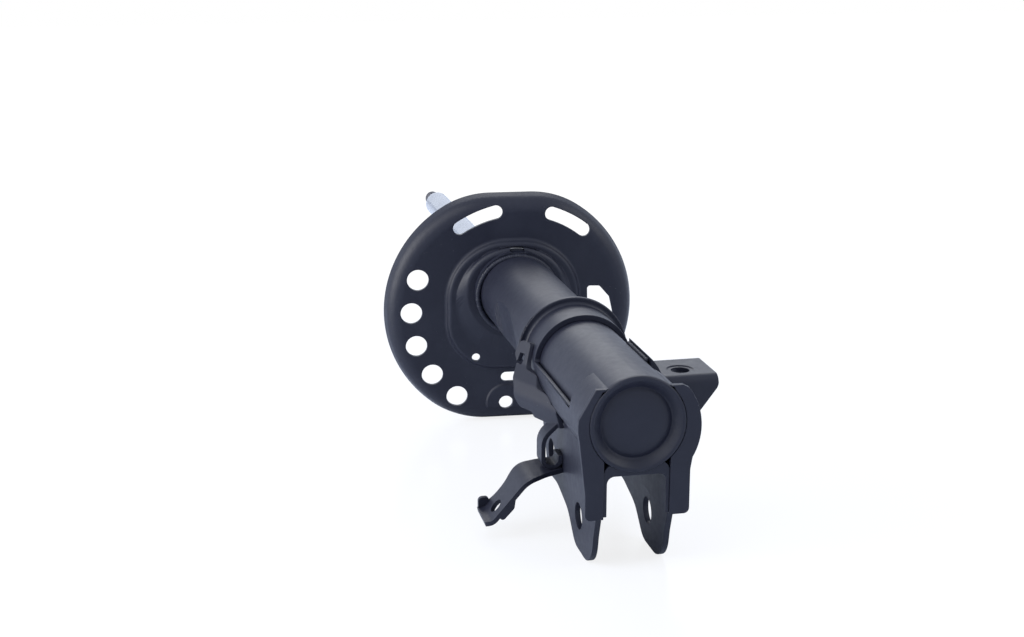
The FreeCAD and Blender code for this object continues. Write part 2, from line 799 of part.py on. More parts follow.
def hat_cone(skin):
    """The hat's crown, which leans from the step to the tube's axis; its inner edge stays sharp."""
    foot = Part.makeCircle(HAT_CONE_R - skin, V(HAT_SIDE, HAT_UP, HAT_STEP - skin - 1.0))
    crown = Part.makeCircle(HAT_CROWN_R - skin * 0.6, V(-SEAT_SIDE_SHIFT, SEAT_DROP, HAT_HEIGHT - skin))
    cone = Part.makeLoft([Part.Wire(foot), Part.Wire(crown)], True)
    if skin > 0:
        return cone
    return cone.makeFillet(HAT_CROWN_ROUND, edges_at(cone, HAT_HEIGHT))


def seat_blank(skin):
    """Pan and hat as one solid block, with a hollow round at the hat's foot."""
    block = pan_blank(skin).fuse(hat_step(skin)).removeSplitter()
    foot = [edge for edge in edges_at(block, -skin) if edge.BoundBox.DiagonalLength < 2 * HAT_HALF]
    block = block.makeFillet(HAT_FOOT_ROUND + skin, foot)
    return block.fuse(hat_cone(skin))


def slot_cutter(start, span, radius, half_width):
    """A curved slot on the pan's hole circle, with round ends."""
    depth = 4 * SEAT_SHEET
    low = -2 * SEAT_SHEET
    sweep = Part.makeCylinder(radius + half_width, depth, V(0, 0, low), V(0, 0, 1), span)
    sweep = sweep.cut(Part.makeCylinder(radius - half_width, depth, V(0, 0, low)))
    sweep.rotate(V(0, 0, 0), V(0, 0, 1), start)
    ends = []
    for angle in (start, start + span):
        turn = math.radians(angle)
        place = V(radius * math.cos(turn), radius * math.sin(turn), low)
        ends.append(Part.makeCylinder(half_width, depth, place))
    return sweep.fuse(ends)


def seat_holes():
    """All the openings in the pan's floor, as one list of cutters."""
    depth = 4 * SEAT_SHEET
    low = -2 * SEAT_SHEET
    cutters = []
    for i in range(ROUND_HOLE_COUNT):
        turn = math.radians(ROUND_HOLE_FIRST + ROUND_HOLE_STEP * i)
        place = V(HOLE_CIRCLE_R * math.cos(turn), HOLE_CIRCLE_R * math.sin(turn), low)
        cutters.append(Part.makeCylinder(ROUND_HOLE_R, depth, place))
    for start, span in zip(SLOT_STARTS, SLOT_SPANS):
        cutters.append(slot_cutter(start, span, HOLE_CIRCLE_R, SLOT_HALF_WIDTH))
    window = Part.Face(rounded_wire([(x, y, WINDOW_ROUND) for x, y in WINDOW_CORNERS]))
    window.translate(V(0, 0, low))
    cutters.append(window.extrude(V(0, 0, depth)))
    x, y = LOW_HOLE_PLACE
    cutters.append(Part.makeCylinder(LOW_HOLE_R, depth, V(x, y, low)))
    x, y = LOW_SLOT_PLACE
    for end in (0, LOW_SLOT_LENGTH):
        cutters.append(Part.makeCylinder(LOW_SLOT_HALF_WIDTH, depth, V(x + end, y, low)))
    near = (x, y - LOW_SLOT_HALF_WIDTH, low)
    far = (x + LOW_SLOT_LENGTH, y + LOW_SLOT_HALF_WIDTH, -low)
    cutters.append(box(near, far))
    x, y = DRAIN_HOLE_PLACE
    cutters.append(Part.makeCylinder(DRAIN_HOLE_R, 3 * depth, V(x, y, -depth)))
    return cutters


def spring_seat():
    sheet = seat_blank(0).cut(seat_blank(SEAT_SHEET))
    x, y = LOW_HOLE_PLACE
    pad = Part.makeCone(PAD_R + PAD_HEIGHT, PAD_R, PAD_HEIGHT, V(x, y, 0))
    level = Part.Face(pan_outline(PAN_FLARE + PAN_CORNER * 0.7, 0))
    sheet = sheet.fuse(pad.common(level.extrude(V(0, 0, PAD_HEIGHT)))).cut(seat_holes())
    sheet.Placement = seat_placement()
    slab = Part.makeBox(4 * TUBE_R, 4 * TUBE_R, COLLAR_EDGE, V(-2 * TUBE_R, SEAT_DROP - 2 * TUBE_R, 0))
    slab.Placement = seat_placement()
    sleeve = ring(0, TUBE_R + COLLAR_WALL, SEAT_AT - 2 * COLLAR_EDGE, SEAT_AT + COLLAR_EDGE)
    seat = sheet.fuse(sleeve.common(slab))
    seat = seat.cut(ring(0, TUBE_R + SHEET_GAP, SEAT_AT - 3 * COLLAR_EDGE, SEAT_AT + 3 * COLLAR_EDGE))
    notch_up = TUBE_R + COLLAR_WALL - 1.0
    notch = box((-SEAT_NOTCH_WIDTH / 2, SEAT_AT - 2 * COLLAR_EDGE, notch_up),
                (SEAT_NOTCH_WIDTH / 2, SEAT_AT - HAT_HEIGHT + 1.0, notch_up + SEAT_NOTCH_HEIGHT))
    return seat.cut(notch)


def seat_weld():
    """Bead that runs round the tube against the edge of the seat's collar."""
    centre = V(-SEAT_SIDE_SHIFT, SEAT_DROP, COLLAR_EDGE + WELD_R)
    bead = Part.makeTorus(TUBE_R + WELD_R * 0.55, WELD_R, centre)
    bead.Placement = seat_placement()
    inner = ring(0, TUBE_R + SHEET_GAP / 2, SEAT_AT - 4 * COLLAR_EDGE, SEAT_AT + 2 * COLLAR_EDGE)
    return bead.cut(inner)


# Knuckle bracket

def wrap_section():
    """Half round over the tube, then waists in to two straight ears."""
    inner = TUBE_R + SHEET_GAP
    outer = inner + BRACKET_SHEET
    round_part = Part.Face(Part.Wire(Part.makeCircle(outer)))
    legs = Part.Face(rounded_wire((
        (-GAP_HALF - BRACKET_SHEET, 0, 0),
        (-GAP_HALF - BRACKET_SHEET, EAR_OUTLINE[2][1] - 5, 0),
        (GAP_HALF + BRACKET_SHEET, EAR_OUTLINE[2][1] - 5, 0),
        (GAP_HALF + BRACKET_SHEET, 0, 0),
    )))
    bore = Part.Face(Part.Wire(Part.makeCircle(inner)))
    slot = Part.makePlane(2 * GAP_HALF, 2 * LIP_R + 80, V(-GAP_HALF, -2 * LIP_R - 80, 0))
    return round_part.fuse(legs).removeSplitter().cut(bore.fuse(slot)).removeSplitter()


def extrude_section(face, start, end):
    """Turn a section drawn flat as (x, z) and push it along the damper axis."""
    turned_face = face.copy()
    turned_face.rotate(V(0, 0, 0), V(1, 0, 0), 90)
    turned_face.translate(V(0, start, 0))
    return turned_face.extrude(V(0, end - start, 0))


def ear_profile():
    """Side view of the bracket as a block across its whole width."""
    outline = [(BRACKET_FOOT, 2 * LIP_R, 0), (BRACKET_FOOT, FLANGE_LOW, 0)]
    outline += list(EAR_OUTLINE)
    outline += [(BRACKET_TOP, 2 * LIP_R, 0)]
    return sideways(rounded_wire(outline), -2 * LIP_R, 2 * LIP_R)


def flange_half(side, radius, drop, waist, edge):
    """One side of the foot flange, drawn flat: a round that narrows to the ear's straight edge."""
    edge_x, edge_start = edge
    disc = Part.Face(Part.Wire(Part.makeCircle(radius, V(0, -drop, 0))))
    waist_x = math.sqrt(radius ** 2 - (waist + drop) ** 2)
    leg = Part.Face(rounded_wire((
        (0, waist, 0),
        (side * waist_x, waist, 0),
        (side * edge_x, edge_start, FLANGE_WAIST_ROUND),
        (side * edge_x, FLANGE_LOW, FLANGE_ROUND),
        (0, FLANGE_LOW, 0),
    )))
    half = Part.makePlane(radius, 4 * radius, V(min(side, 0) * radius, -2 * radius, 0))
    return disc.fuse(leg).common(half)


def beyond(line):
    """Everything outside a slanting line across one of the flange's top corners."""
    (low_x, low_z), (high_x, high_z) = line
    far = math.copysign(2 * FLANGE_RIGHT_R, low_x)
    top = 2 * FLANGE_RIGHT_R
    return Part.Face(rounded_wire((
        (low_x, low_z, 0),
        (high_x, high_z, 0),
        (high_x, top, 0),
        (far, top, 0),
        (far, low_z, 0),
    )))


def foot_flange():
    """Stiffening flange at the foot that follows the tube and runs down both ears."""
    left = flange_half(-1, FLANGE_LEFT_R, FLANGE_LEFT_DROP, FLANGE_LEFT_WAIST, FLANGE_LEFT_EDGE)
    right = flange_half(1, FLANGE_RIGHT_R, FLANGE_RIGHT_DROP, FLANGE_RIGHT_WAIST, FLANGE_RIGHT_EDGE)
    face = left.fuse(right)
    reach = 2 * FLANGE_RIGHT_R
    above = Part.makePlane(2 * reach, reach, V(-reach, HORN_TOP, 0))
    bore = Part.Face(Part.Wire(Part.makeCircle(TUBE_R + SHEET_GAP)))
    gap = Part.makePlane(2 * GAP_HALF, 2 * reach, V(-GAP_HALF, -2 * reach, 0))
    face = face.cut([above, bore, gap, beyond(FLANGE_LEFT_CUT), beyond(FLANGE_RIGHT_CUT)])
    return extrude_section(face, BRACKET_FOOT, BRACKET_FOOT + BRACKET_SHEET)


def bracket_lip():
    """Flared lip at the top of the band, over the upper half of the tube."""
    root = TUBE_R + SHEET_GAP + BRACKET_SHEET
    start = BRACKET_TOP - BRACKET_SHEET
    lip = turned((
        (root - 1.0, start - LIP_ROUND, 0),
        (root, start - LIP_ROUND, 0),
        (root + 0.01, start, LIP_ROUND * 0.99),
        (LIP_R, start, 0.8),
        (LIP_R, BRACKET_TOP, 0.8),
        (root - 1.0, BRACKET_TOP, 0),
    ))
    return lip.cut(box((-2 * LIP_R, start - 10, -2 * LIP_R), (2 * LIP_R, BRACKET_TOP + 1, 0)))


def horns():
    """At the foot the wrap thins out upwards until it meets the tube on both sides."""
    inner = TUBE_R + SHEET_GAP
    offset = inner + BRACKET_SHEET - HORN_ROUND_R
    bore = Part.Face(Part.Wire(Part.makeCircle(inner)))
    below = Part.makePlane(4 * LIP_R, 2 * LIP_R, V(-2 * LIP_R, -2 * LIP_R, 0))
    pieces = []
    for side in (-1, 1):
        disc = Part.Face(Part.Wire(Part.makeCircle(HORN_ROUND_R, V(side * offset, 0, 0))))
        pieces.append(extrude_section(disc.cut([bore, below]), BRACKET_FOOT, HORN_LENGTH))
    return pieces


def window_cutter(side):
    """What is open above one cheek, from the horn to the band."""
    reach = 2 * LIP_R
    return sideways(rounded_wire((
        (BRACKET_FOOT - 1, 0, 0),
        (HORN_LENGTH, 0, 0),
        (HORN_LENGTH, CHEEK_TOP, CHEEK_CORNER),
        (BAND_START, CHEEK_TOP, CHEEK_CORNER),
        (BAND_START, reach, 0),
        (BRACKET_FOOT - 1, reach, 0),
    )), min(side, 0) * reach, max(side, 0) * reach)


def shoulder_block():
    """Where the right cheek reaches further up, beside the link bracket."""
    reach = 2 * LIP_R
    return box((SHOULDER_EDGE_X, SHOULDER_START, 0), (reach, SHOULDER_END, reach))


def edge_bevel():
    """The left cheek's upper edge is bevelled inside, which leaves a groove along the tube."""
    inner = TUBE_R + SHEET_GAP
    return across(rounded_wire((
        (-inner, CHEEK_TOP - CHEEK_BEVEL_DEPTH, 0),
        (-inner - CHEEK_BEVEL, CHEEK_TOP, 0),
        (-inner + CHEEK_BEVEL, CHEEK_TOP, 0),
    )), HORN_LENGTH, BAND_START)


def knuckle_bracket():
    """Wrap, window, horns, flange and lip as one pressed and welded piece."""
    wrap = extrude_section(wrap_section(), BRACKET_FOOT, BRACKET_TOP)
    cutters = [window_cutter(-1), window_cutter(1).cut(shoulder_block()), edge_bevel()]
    shell = wrap.cut(cutters).common(ear_profile())
    bracket = joined(shell, *horns(), foot_flange(), bracket_lip())
    return bracket.cut(bolt_holes())


def bolt_holes():
    """Cutters for the two knuckle bolts through both ears."""
    holes = []
    for station, height in (LOWER_BOLT, UPPER_BOLT):
        start = V(-2 * GAP_HALF, station, height)
        holes.append(Part.makeCylinder(BOLT_HOLE_R, 4 * GAP_HALF, start, V(1, 0, 0)))
    return holes


def clevis_gusset():
    """Inner channel: it cups the tube from below and stiffens both ears."""
    outer_x = GAP_HALF - SHEET_GAP
    inner_x = outer_x - GUSSET_SHEET
    cup = TUBE_R + SHEET_GAP
    web = -cup - GUSSET_SHEET
    outside = across(rounded_wire((
        (-outer_x, GUSSET_LOW, 0),
        (outer_x, GUSSET_LOW, 0),
        (outer_x, GUSSET_TOP, GUSSET_BEND + GUSSET_SHEET),
        (-outer_x, GUSSET_TOP, GUSSET_BEND + GUSSET_SHEET),
    )), GUSSET_START, GUSSET_END)
    hollow = across(rounded_wire((
        (-inner_x, 2 * GUSSET_LOW, 0),
        (inner_x, 2 * GUSSET_LOW, 0),
        (inner_x, web, GUSSET_BEND),
        (-inner_x, web, GUSSET_BEND),
    )), GUSSET_START, GUSSET_END)
    tube_space = ring(0, cup, GUSSET_START, GUSSET_END)
    channel = outside.cut([hollow, tube_space])
    slope = sideways(rounded_wire((
        (GUSSET_END, web - 2.0, 0),
        (GUSSET_END + 1, 3 * GUSSET_LOW, 0),
        (GUSSET_END - 26.0, 3 * GUSSET_LOW, 0),
        (GUSSET_END - 26.0, GUSSET_LOW, 10.0),
    )), -2 * GAP_HALF, 2 * GAP_HALF)
    return channel.cut(slope)


# Stabiliser link bracket

def link_bracket():
    """Channel open below: a top plate with a hole and two side flanges."""
    end = LINK_START + LINK_WIDTH
    root_x = GAP_HALF
    low = LINK_SIDE_CORNERS[-1][1]
    section = sheet_section((
        (end - LINK_SHEET, low, 0),
        (end - LINK_SHEET, LINK_TOP - LINK_SHEET, LINK_BEND - LINK_SHEET),
        (LINK_START + LINK_SHEET, LINK_TOP - LINK_SHEET, LINK_BEND - LINK_SHEET),
        (LINK_START + LINK_SHEET, low, 0),
    )[::-1], LINK_SHEET)
    channel = sideways(section, root_x, LINK_EDGE_X + 2)
    corners = [(root_x, 2 * LIP_R, 0), (LINK_EDGE_X, 2 * LIP_R, 0)]
    corners += [(x, z, LINK_CORNER_ROUND) for x, z in LINK_SIDE_CORNERS[:-1]]
    corners += [(LINK_SIDE_CORNERS[-1][0], low, 0), (root_x, low, 0)]
    channel = channel.common(across(rounded_wire(corners), LINK_START - 1, end + 1))
    channel = channel.cut(ring(0, TUBE_R + 2 * SHEET_GAP + BRACKET_SHEET, LINK_START - 1, end + 1))
    ear_x = GAP_HALF + BRACKET_SHEET + SHEET_GAP
    channel = channel.cut(box((0, LINK_START - 1, -90), (ear_x, end + 1, 0)))
    x, y = LINK_HOLE
    hole = Part.makeCylinder(LINK_HOLE_R, 4 * LINK_SHEET, V(x, y, LINK_TOP - 2 * LINK_SHEET))
    spot = Part.makeCylinder(LINK_SPOT_R, LINK_SHEET, V(x, y, LINK_TOP - LINK_SPOT_DEPTH))
    return channel.cut([hole, spot])


# Hose bracket

def arm_underlay(gap):
    """Everything below the arm's upper face, raised by a gap."""
    corners = [(x, z + gap, radius) for x, z, radius in ARM_PATH]
    corners += [(ARM_PATH[-1][0], 2 * FLANGE_LOW, 0), (ARM_PATH[0][0], 2 * FLANGE_LOW, 0)]
    return across(rounded_wire(corners), LOOP_START - 1, LOOP_END + 1)


def hose_strap():
    """Pressed strap on the left cheek: a slanting wing and, under it, a loop down to the arm."""
    section = Part.Face(sheet_section(WING_PATH, STRAP_SHEET))
    section.rotate(V(0, 0, 0), V(1, 0, 0), 90)
    reach = 60.0
    section.translate(V(WING_SLANT * reach / 2, WING_AT - reach / 2, 0))
    wing = section.extrude(V(-WING_SLANT * reach, reach, 0))
    wing = wing.common(sideways(rounded_wire(WING_OUTLINE), -2 * LIP_R, 0))
    near, far, low, high = WING_SLOT
    wing = wing.cut(box((-2 * LIP_R, near, low), (0, far, high)))
    loop = across(sheet_section(LOOP_PATH, STRAP_SHEET), LOOP_START, LOOP_END)
    loop = loop.cut(arm_underlay(SHEET_GAP))
    strap = joined(wing, loop)
    cheek_r = TUBE_R + 2 * SHEET_GAP + BRACKET_SHEET
    strap = strap.cut(ring(0, cheek_r, LOOP_START - 2, BRACKET_TOP))
    ear_x = GAP_HALF + BRACKET_SHEET + SHEET_GAP
    return strap.cut(box((-ear_x, LOOP_START - 2, FLANGE_LOW), (0, BRACKET_TOP, 0)))


def hose_arm():
    """Strap that leaves the ear, steps down and ends in a plate with the clip's hole."""
    body = across(sheet_section(ARM_PATH, STRAP_SHEET), ARM_START - 1, ARM_END + 1)
    plan = Part.Face(rounded_wire(ARM_OUTLINE))
    plan.translate(V(0, 0, 2 * FLANGE_LOW))
    body = body.common(plan.extrude(V(0, 0, -2 * FLANGE_LOW)))
    x, y, z = CLIP_HOLE
    down = V(ARM_PATH[3][1] - ARM_PATH[2][1], 0, ARM_PATH[2][0] - ARM_PATH[3][0]).normalize()
    hole = Part.makeCylinder(CLIP_HOLE_R, 24, V(x, y, z) - down * 12, down)
    slope = (ARM_PATH[3][1] - ARM_PATH[2][1]) / (ARM_PATH[3][0] - ARM_PATH[2][0])
    top_start = ARM_PATH[2][1] + (TAB_START - ARM_PATH[2][0]) * slope
    top_end = ARM_PATH[2][1] + (TAB_END - ARM_PATH[2][0]) * slope
    drop = STRAP_SHEET * 0.6
    tab = across(rounded_wire((
        (TAB_START, top_start - drop, 0),
        (TAB_START + 1.0, top_start - drop - TAB_REACH + 3.0, TAB_ROUND * 0.6),
        (TAB_END - 1.0, top_end - drop - TAB_REACH, TAB_ROUND),
        (TAB_END, top_end - drop, 0),
    )), ARM_START, ARM_START + STRAP_SHEET)
    lobe_y = ARM_OUTLINE[5][1]
    lobe = across(rounded_wire(ARM_LOBE), lobe_y - STRAP_SHEET, lobe_y)
    ear_x = GAP_HALF + BRACKET_SHEET + SHEET_GAP
    ear = box((-ear_x, ARM_START, 2 * FLANGE_LOW), (0, ARM_END + 1, 0))
    return joined(body, tab, lobe).cut([hole, ear])


def bead(x, side, span):
    """A straight bead that lies on the tube at the given x, above it or below."""
    start, end = span
    lie_r = TUBE_R + SHEET_GAP + BEAD_R * BEAD_SINK
    height = side * math.sqrt(lie_r ** 2 - x ** 2)
    return Part.makeCylinder(BEAD_R, end - start, V(x, start, height), AXIS)


def bracket_welds():
    """Beads inside the clevis, where the ears leave the tube, and along the right shoulder's edge."""
    clevis_x = GAP_HALF - BEAD_R
    clevis = bead(-clevis_x, -1, CLEVIS_BEAD).fuse(bead(clevis_x, -1, CLEVIS_BEAD))
    clear = GAP_HALF - SHEET_GAP
    start, end = CLEVIS_BEAD
    clevis = clevis.common(box((-clear, start, -2 * TUBE_R), (clear, end, 0)))
    edge_x = SHOULDER_EDGE_X - SHEET_GAP
    shoulder = bead(SHOULDER_EDGE_X - BEAD_R * 0.6, 1, SHOULDER_BEAD)
    shoulder = shoulder.common(box((0, SHOULDER_START, 0), (edge_x, SHOULDER_END, 2 * TUBE_R)))
    tube = ring(0, TUBE_R + SHEET_GAP, BRACKET_FOOT, BRACKET_TOP)
    return Part.makeCompound([clevis.cut(tube), shoulder.cut(tube)])


MAKERS = {
    "reserve_tube": reserve_tube,
    "base_cap": base_cap,
    "inner_cylinder": inner_cylinder,
    "base_valve_body": base_valve_body,
    "base_valve_discs": base_valve_discs,
    "base_valve_rivet": base_valve_rivet,
    "base_check_plate": base_check_plate,
    "base_check_stop": base_check_stop,
    "rod_guide": rod_guide,
    "guide_bush": guide_bush,
    "seal_plate": seal_plate,
    "rod_seal": rod_seal,
    "piston_rod": piston_rod,
    "piston": piston,
    "piston_band": piston_band,
    "piston_check_plate": piston_check_plate,
    "piston_check_stop": piston_check_stop,
    "rebound_discs": rebound_discs,
    "piston_washer": piston_washer,
    "piston_nut": piston_nut,
    "rebound_stop": rebound_stop,
    "rebound_bumper": rebound_bumper,
    "spring_seat": spring_seat,
    "seat_weld": seat_weld,
    "knuckle_bracket": knuckle_bracket,
    "clevis_gusset": clevis_gusset,
    "link_bracket": link_bracket,
    "hose_strap": hose_strap,
    "hose_arm": hose_arm,
    "bracket_welds": bracket_welds,
}


def main():
    os.makedirs("parts", exist_ok=True)
    to_origin = V(0, -LOWER_BOLT[0], -LOWER_BOLT[1])
    for name, make in MAKERS.items():
        shape = make()
        shape.translate(to_origin)
        shape.exportStep("parts/" + name + ".step")
        print(name, "solids", len(shape.Solids), "valid", shape.isValid(), "volume", round(shape.Volume))


main()
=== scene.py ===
"""Looks for a front suspension strut: its finishes, the finer forms of its pieces and a plain studio."""

import json
import logging
import math
from dataclasses import dataclass
from enum import Enum
from typing import Callable

import bpy
from mathutils import Matrix, Vector
from mathutils.bvhtree import BVHTree

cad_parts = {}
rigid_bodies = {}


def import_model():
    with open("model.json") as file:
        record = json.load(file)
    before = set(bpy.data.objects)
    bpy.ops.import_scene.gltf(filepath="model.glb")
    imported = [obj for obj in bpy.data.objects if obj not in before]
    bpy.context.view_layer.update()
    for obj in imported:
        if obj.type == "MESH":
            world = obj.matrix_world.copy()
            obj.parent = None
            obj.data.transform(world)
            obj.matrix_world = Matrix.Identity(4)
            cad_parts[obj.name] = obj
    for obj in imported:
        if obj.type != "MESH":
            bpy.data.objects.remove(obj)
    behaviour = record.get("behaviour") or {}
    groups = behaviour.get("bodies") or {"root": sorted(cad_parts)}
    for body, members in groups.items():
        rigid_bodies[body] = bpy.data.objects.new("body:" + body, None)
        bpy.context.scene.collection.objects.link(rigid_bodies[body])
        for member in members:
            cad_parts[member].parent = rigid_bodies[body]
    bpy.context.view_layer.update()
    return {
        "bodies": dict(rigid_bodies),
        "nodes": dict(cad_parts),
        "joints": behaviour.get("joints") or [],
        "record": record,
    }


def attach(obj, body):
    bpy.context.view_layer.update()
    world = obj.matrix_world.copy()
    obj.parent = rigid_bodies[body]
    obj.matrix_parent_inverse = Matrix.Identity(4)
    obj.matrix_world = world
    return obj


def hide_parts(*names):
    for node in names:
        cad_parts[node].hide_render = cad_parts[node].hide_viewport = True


LOG = logging.getLogger("strut")

# Sizes and stations are in millimetres from the foot of the tube, whose axis is Y
MM = 0.001
TUBE_R = 25.5
STUD_START = 604.0
# The lower knuckle bolt, where the frame has its origin
ORIGIN = Vector((0.0, 37.0, -62.5))

# Corners closer than this many metres are one
MERGE_LIMIT = 1e-6
SMOOTH_ANGLE = math.radians(35.0)
NOISE_MEAN = 0.5
WHITE = (1.0, 1.0, 1.0)

# Numbers of the colour sockets of a Mix node
MIX_MASK = 0
MIX_LOW = 6
MIX_HIGH = 7
MIX_RESULT = 2

PAINT_SLOT = "black_paint"
ROD_SLOT = "chromed_rod"


def at(x: float, y: float, z: float) -> Vector:
    """Turn millimetres from the foot of the tube into metres from the lower knuckle bolt."""
    return (Vector((x, y, z)) - ORIGIN) * MM


class Body(Enum):
    """The rigid bodies that the modelled pieces ride on."""

    STRUT = "strut_body"
    ROD = "rod_body"


class Choice(Enum):
    """What is selected in edit mode."""

    CORNERS = "VERT"
    EDGES = "EDGE"


class Ray(Enum):
    """Kinds of ray that a shader can tell apart."""

    CAMERA = "Is Camera Ray"
    GLOSSY = "Is Glossy Ray"


@dataclass(frozen=True)
class Grain:
    """One fractal noise: its fineness, its layers and how much the finer layers count."""

    scale: float
    detail: float = 3.0
    rough: float = 0.55


class Signal:
    """A shader socket that takes part in Python arithmetic."""

    def __init__(self, graph: "Graph", socket: bpy.types.NodeSocket) -> None:
        """Wrap one output socket of a graph."""
        self.graph = graph
        self.socket = socket

    def _math(self, operation: str, *values: "Signal | float") -> "Signal":
        """Add a Math node on these values."""
        return self.graph.node("ShaderNodeMath", {"operation": operation}, dict(enumerate(values)))

    def __add__(self, other: "Signal | float") -> "Signal":
        """Add."""
        return self._math("ADD", self, other)

    def __radd__(self, other: float) -> "Signal":
        """Add to a number."""
        return self._math("ADD", other, self)

    def __sub__(self, other: "Signal | float") -> "Signal":
        """Subtract."""
        return self._math("SUBTRACT", self, other)

    def __rsub__(self, other: float) -> "Signal":
        """Subtract this from a number."""
        return self._math("SUBTRACT", other, self)

    def __mul__(self, other: "Signal | float") -> "Signal":
        """Multiply."""
        return self._math("MULTIPLY", self, other)

    def __rmul__(self, other: float) -> "Signal":
        """Multiply a number."""
        return self._math("MULTIPLY", other, self)

    def ramp(self, low: float, high: float) -> "Signal":
        """Rise smoothly from 0 at low to 1 at high."""
        inputs = {"Value": self, "From Min": low, "From Max": high}
        return self.graph.node("ShaderNodeMapRange", {"interpolation_type": "SMOOTHSTEP"}, inputs)


class Graph:
    """A shader's node tree, whose nodes are added from Python expressions."""

    def __init__(self, tree: bpy.types.NodeTree, output: str) -> None:
        """Empty a tree and give it its output node.

        Args:
            tree: The tree of a material or a world.
            output: Blender's type name for the output node.
        """
        self.tree = tree
        self.tree.nodes.clear()
        self.out = self.tree.nodes.new(output)

    @property
    def place(self) -> Signal:
        """Object coordinates."""
        return self.node("ShaderNodeTexCoord", {}, {}, "Object")

    def feed(self, socket: bpy.types.NodeSocket, value: object) -> None:
        """Link a signal to a socket, or set the socket's own value.

        Args:
            socket: The input socket.
            value: A signal, a number, a vector, or a colour without its opacity.
        """
        if isinstance(value, Signal):
            self.tree.links.new(value.socket, socket)
        elif socket.type == "RGBA":
            socket.default_value = (*value, 1.0)
        else:
            socket.default_value = value

    def node(self, kind: str, settings: dict, inputs: dict, output: "int | str" = 0) -> Signal:
        """Add one node.

        Args:
            kind: Blender's type name for the node.
            settings: Attributes of the node, which are set first.
            inputs: Values or signals for its sockets, by name or number.
            output: The output socket that is handed back, by name or number.

        Returns:
            The chosen output as a signal.
        """
        made = self.tree.nodes.new(kind)
        for key, value in settings.items():
            setattr(made, key, value)
        for key, value in inputs.items():
            self.feed(made.inputs[key], value)
        return Signal(self, made.outputs[output])

    def close(self, shader: Signal) -> None:
        """Link a shader to the tree's output."""
        self.feed(self.out.inputs["Surface"], shader)

    def stretched(self, scale: tuple) -> Signal:
        """Object coordinates that are scaled differently along each axis."""
        inputs = {"Vector": self.place, "Scale": scale}
        return self.node("ShaderNodeMapping", {"vector_type": "POINT"}, inputs)

    def noise(self, grain: Grain, where: "Signal | None" = None) -> Signal:
        """Add a fractal noise.

        Args:
            grain: The noise's settings.
            where: Coordinates, or none for the object's own.

        Returns:
            A signal from 0 to 1.
        """
        inputs = {"Vector": where or self.place, "Scale": grain.scale, "Detail": grain.detail,
                  "Roughness": grain.rough}
        return self.node("ShaderNodeTexNoise", {"noise_dimensions": "3D"}, inputs, "Fac")

    def cells(self, scale: float) -> Signal:
        """Distance to the nearest of scattered points."""
        inputs = {"Vector": self.place, "Scale": scale}
        return self.node("ShaderNodeTexVoronoi", {"feature": "F1"}, inputs, "Distance")

    def blend(self, mask: Signal, low: "Signal | tuple", high: "Signal | tuple") -> Signal:
        """Mix two colours.

        Args:
            mask: The share of the second colour.
            low: The first colour.
            high: The second colour.

        Returns:
            The mixed colour.
        """
        settings = {"data_type": "RGBA", "blend_type": "MIX"}
        inputs = {MIX_MASK: mask, MIX_LOW: low, MIX_HIGH: high}
        return self.node("ShaderNodeMix", settings, inputs, MIX_RESULT)

    def bump(self, height: Signal, depth: float, strength: float) -> Signal:
        """Turn a height from 0 to 1 into a normal; depth is in metres."""
        inputs = {"Height": height, "Distance": depth, "Strength": strength}
        return self.node("ShaderNodeBump", {}, inputs)

    def ray(self, kind: Ray) -> Signal:
        """One for rays of a kind, else nothing."""
        return self.node("ShaderNodeLightPath", {}, {}, kind.value)


class Skin(Graph):
    """The graph of one material, with a Principled shader at its end."""

    def __init__(self, name: str) -> None:
        """Start a material of that name."""
        self.material = bpy.data.materials.new(name)
        self.material.use_nodes = True
        super().__init__(self.material.node_tree, "ShaderNodeOutputMaterial")
        self.shader = self.node("ShaderNodeBsdfPrincipled", {}, {})
        self.close(self.shader)

    def surface(self, **values: object) -> bpy.types.Material:
        """Set the shader's sockets, with underscores for spaces.

        Args:
            **values: A number, a colour or a signal for each socket.

        Returns:
            The finished material.
        """
        sockets = self.shader.socket.node.inputs
        for key, value in values.items():
            self.feed(sockets[key.replace("_", " ")], value)
        return self.material


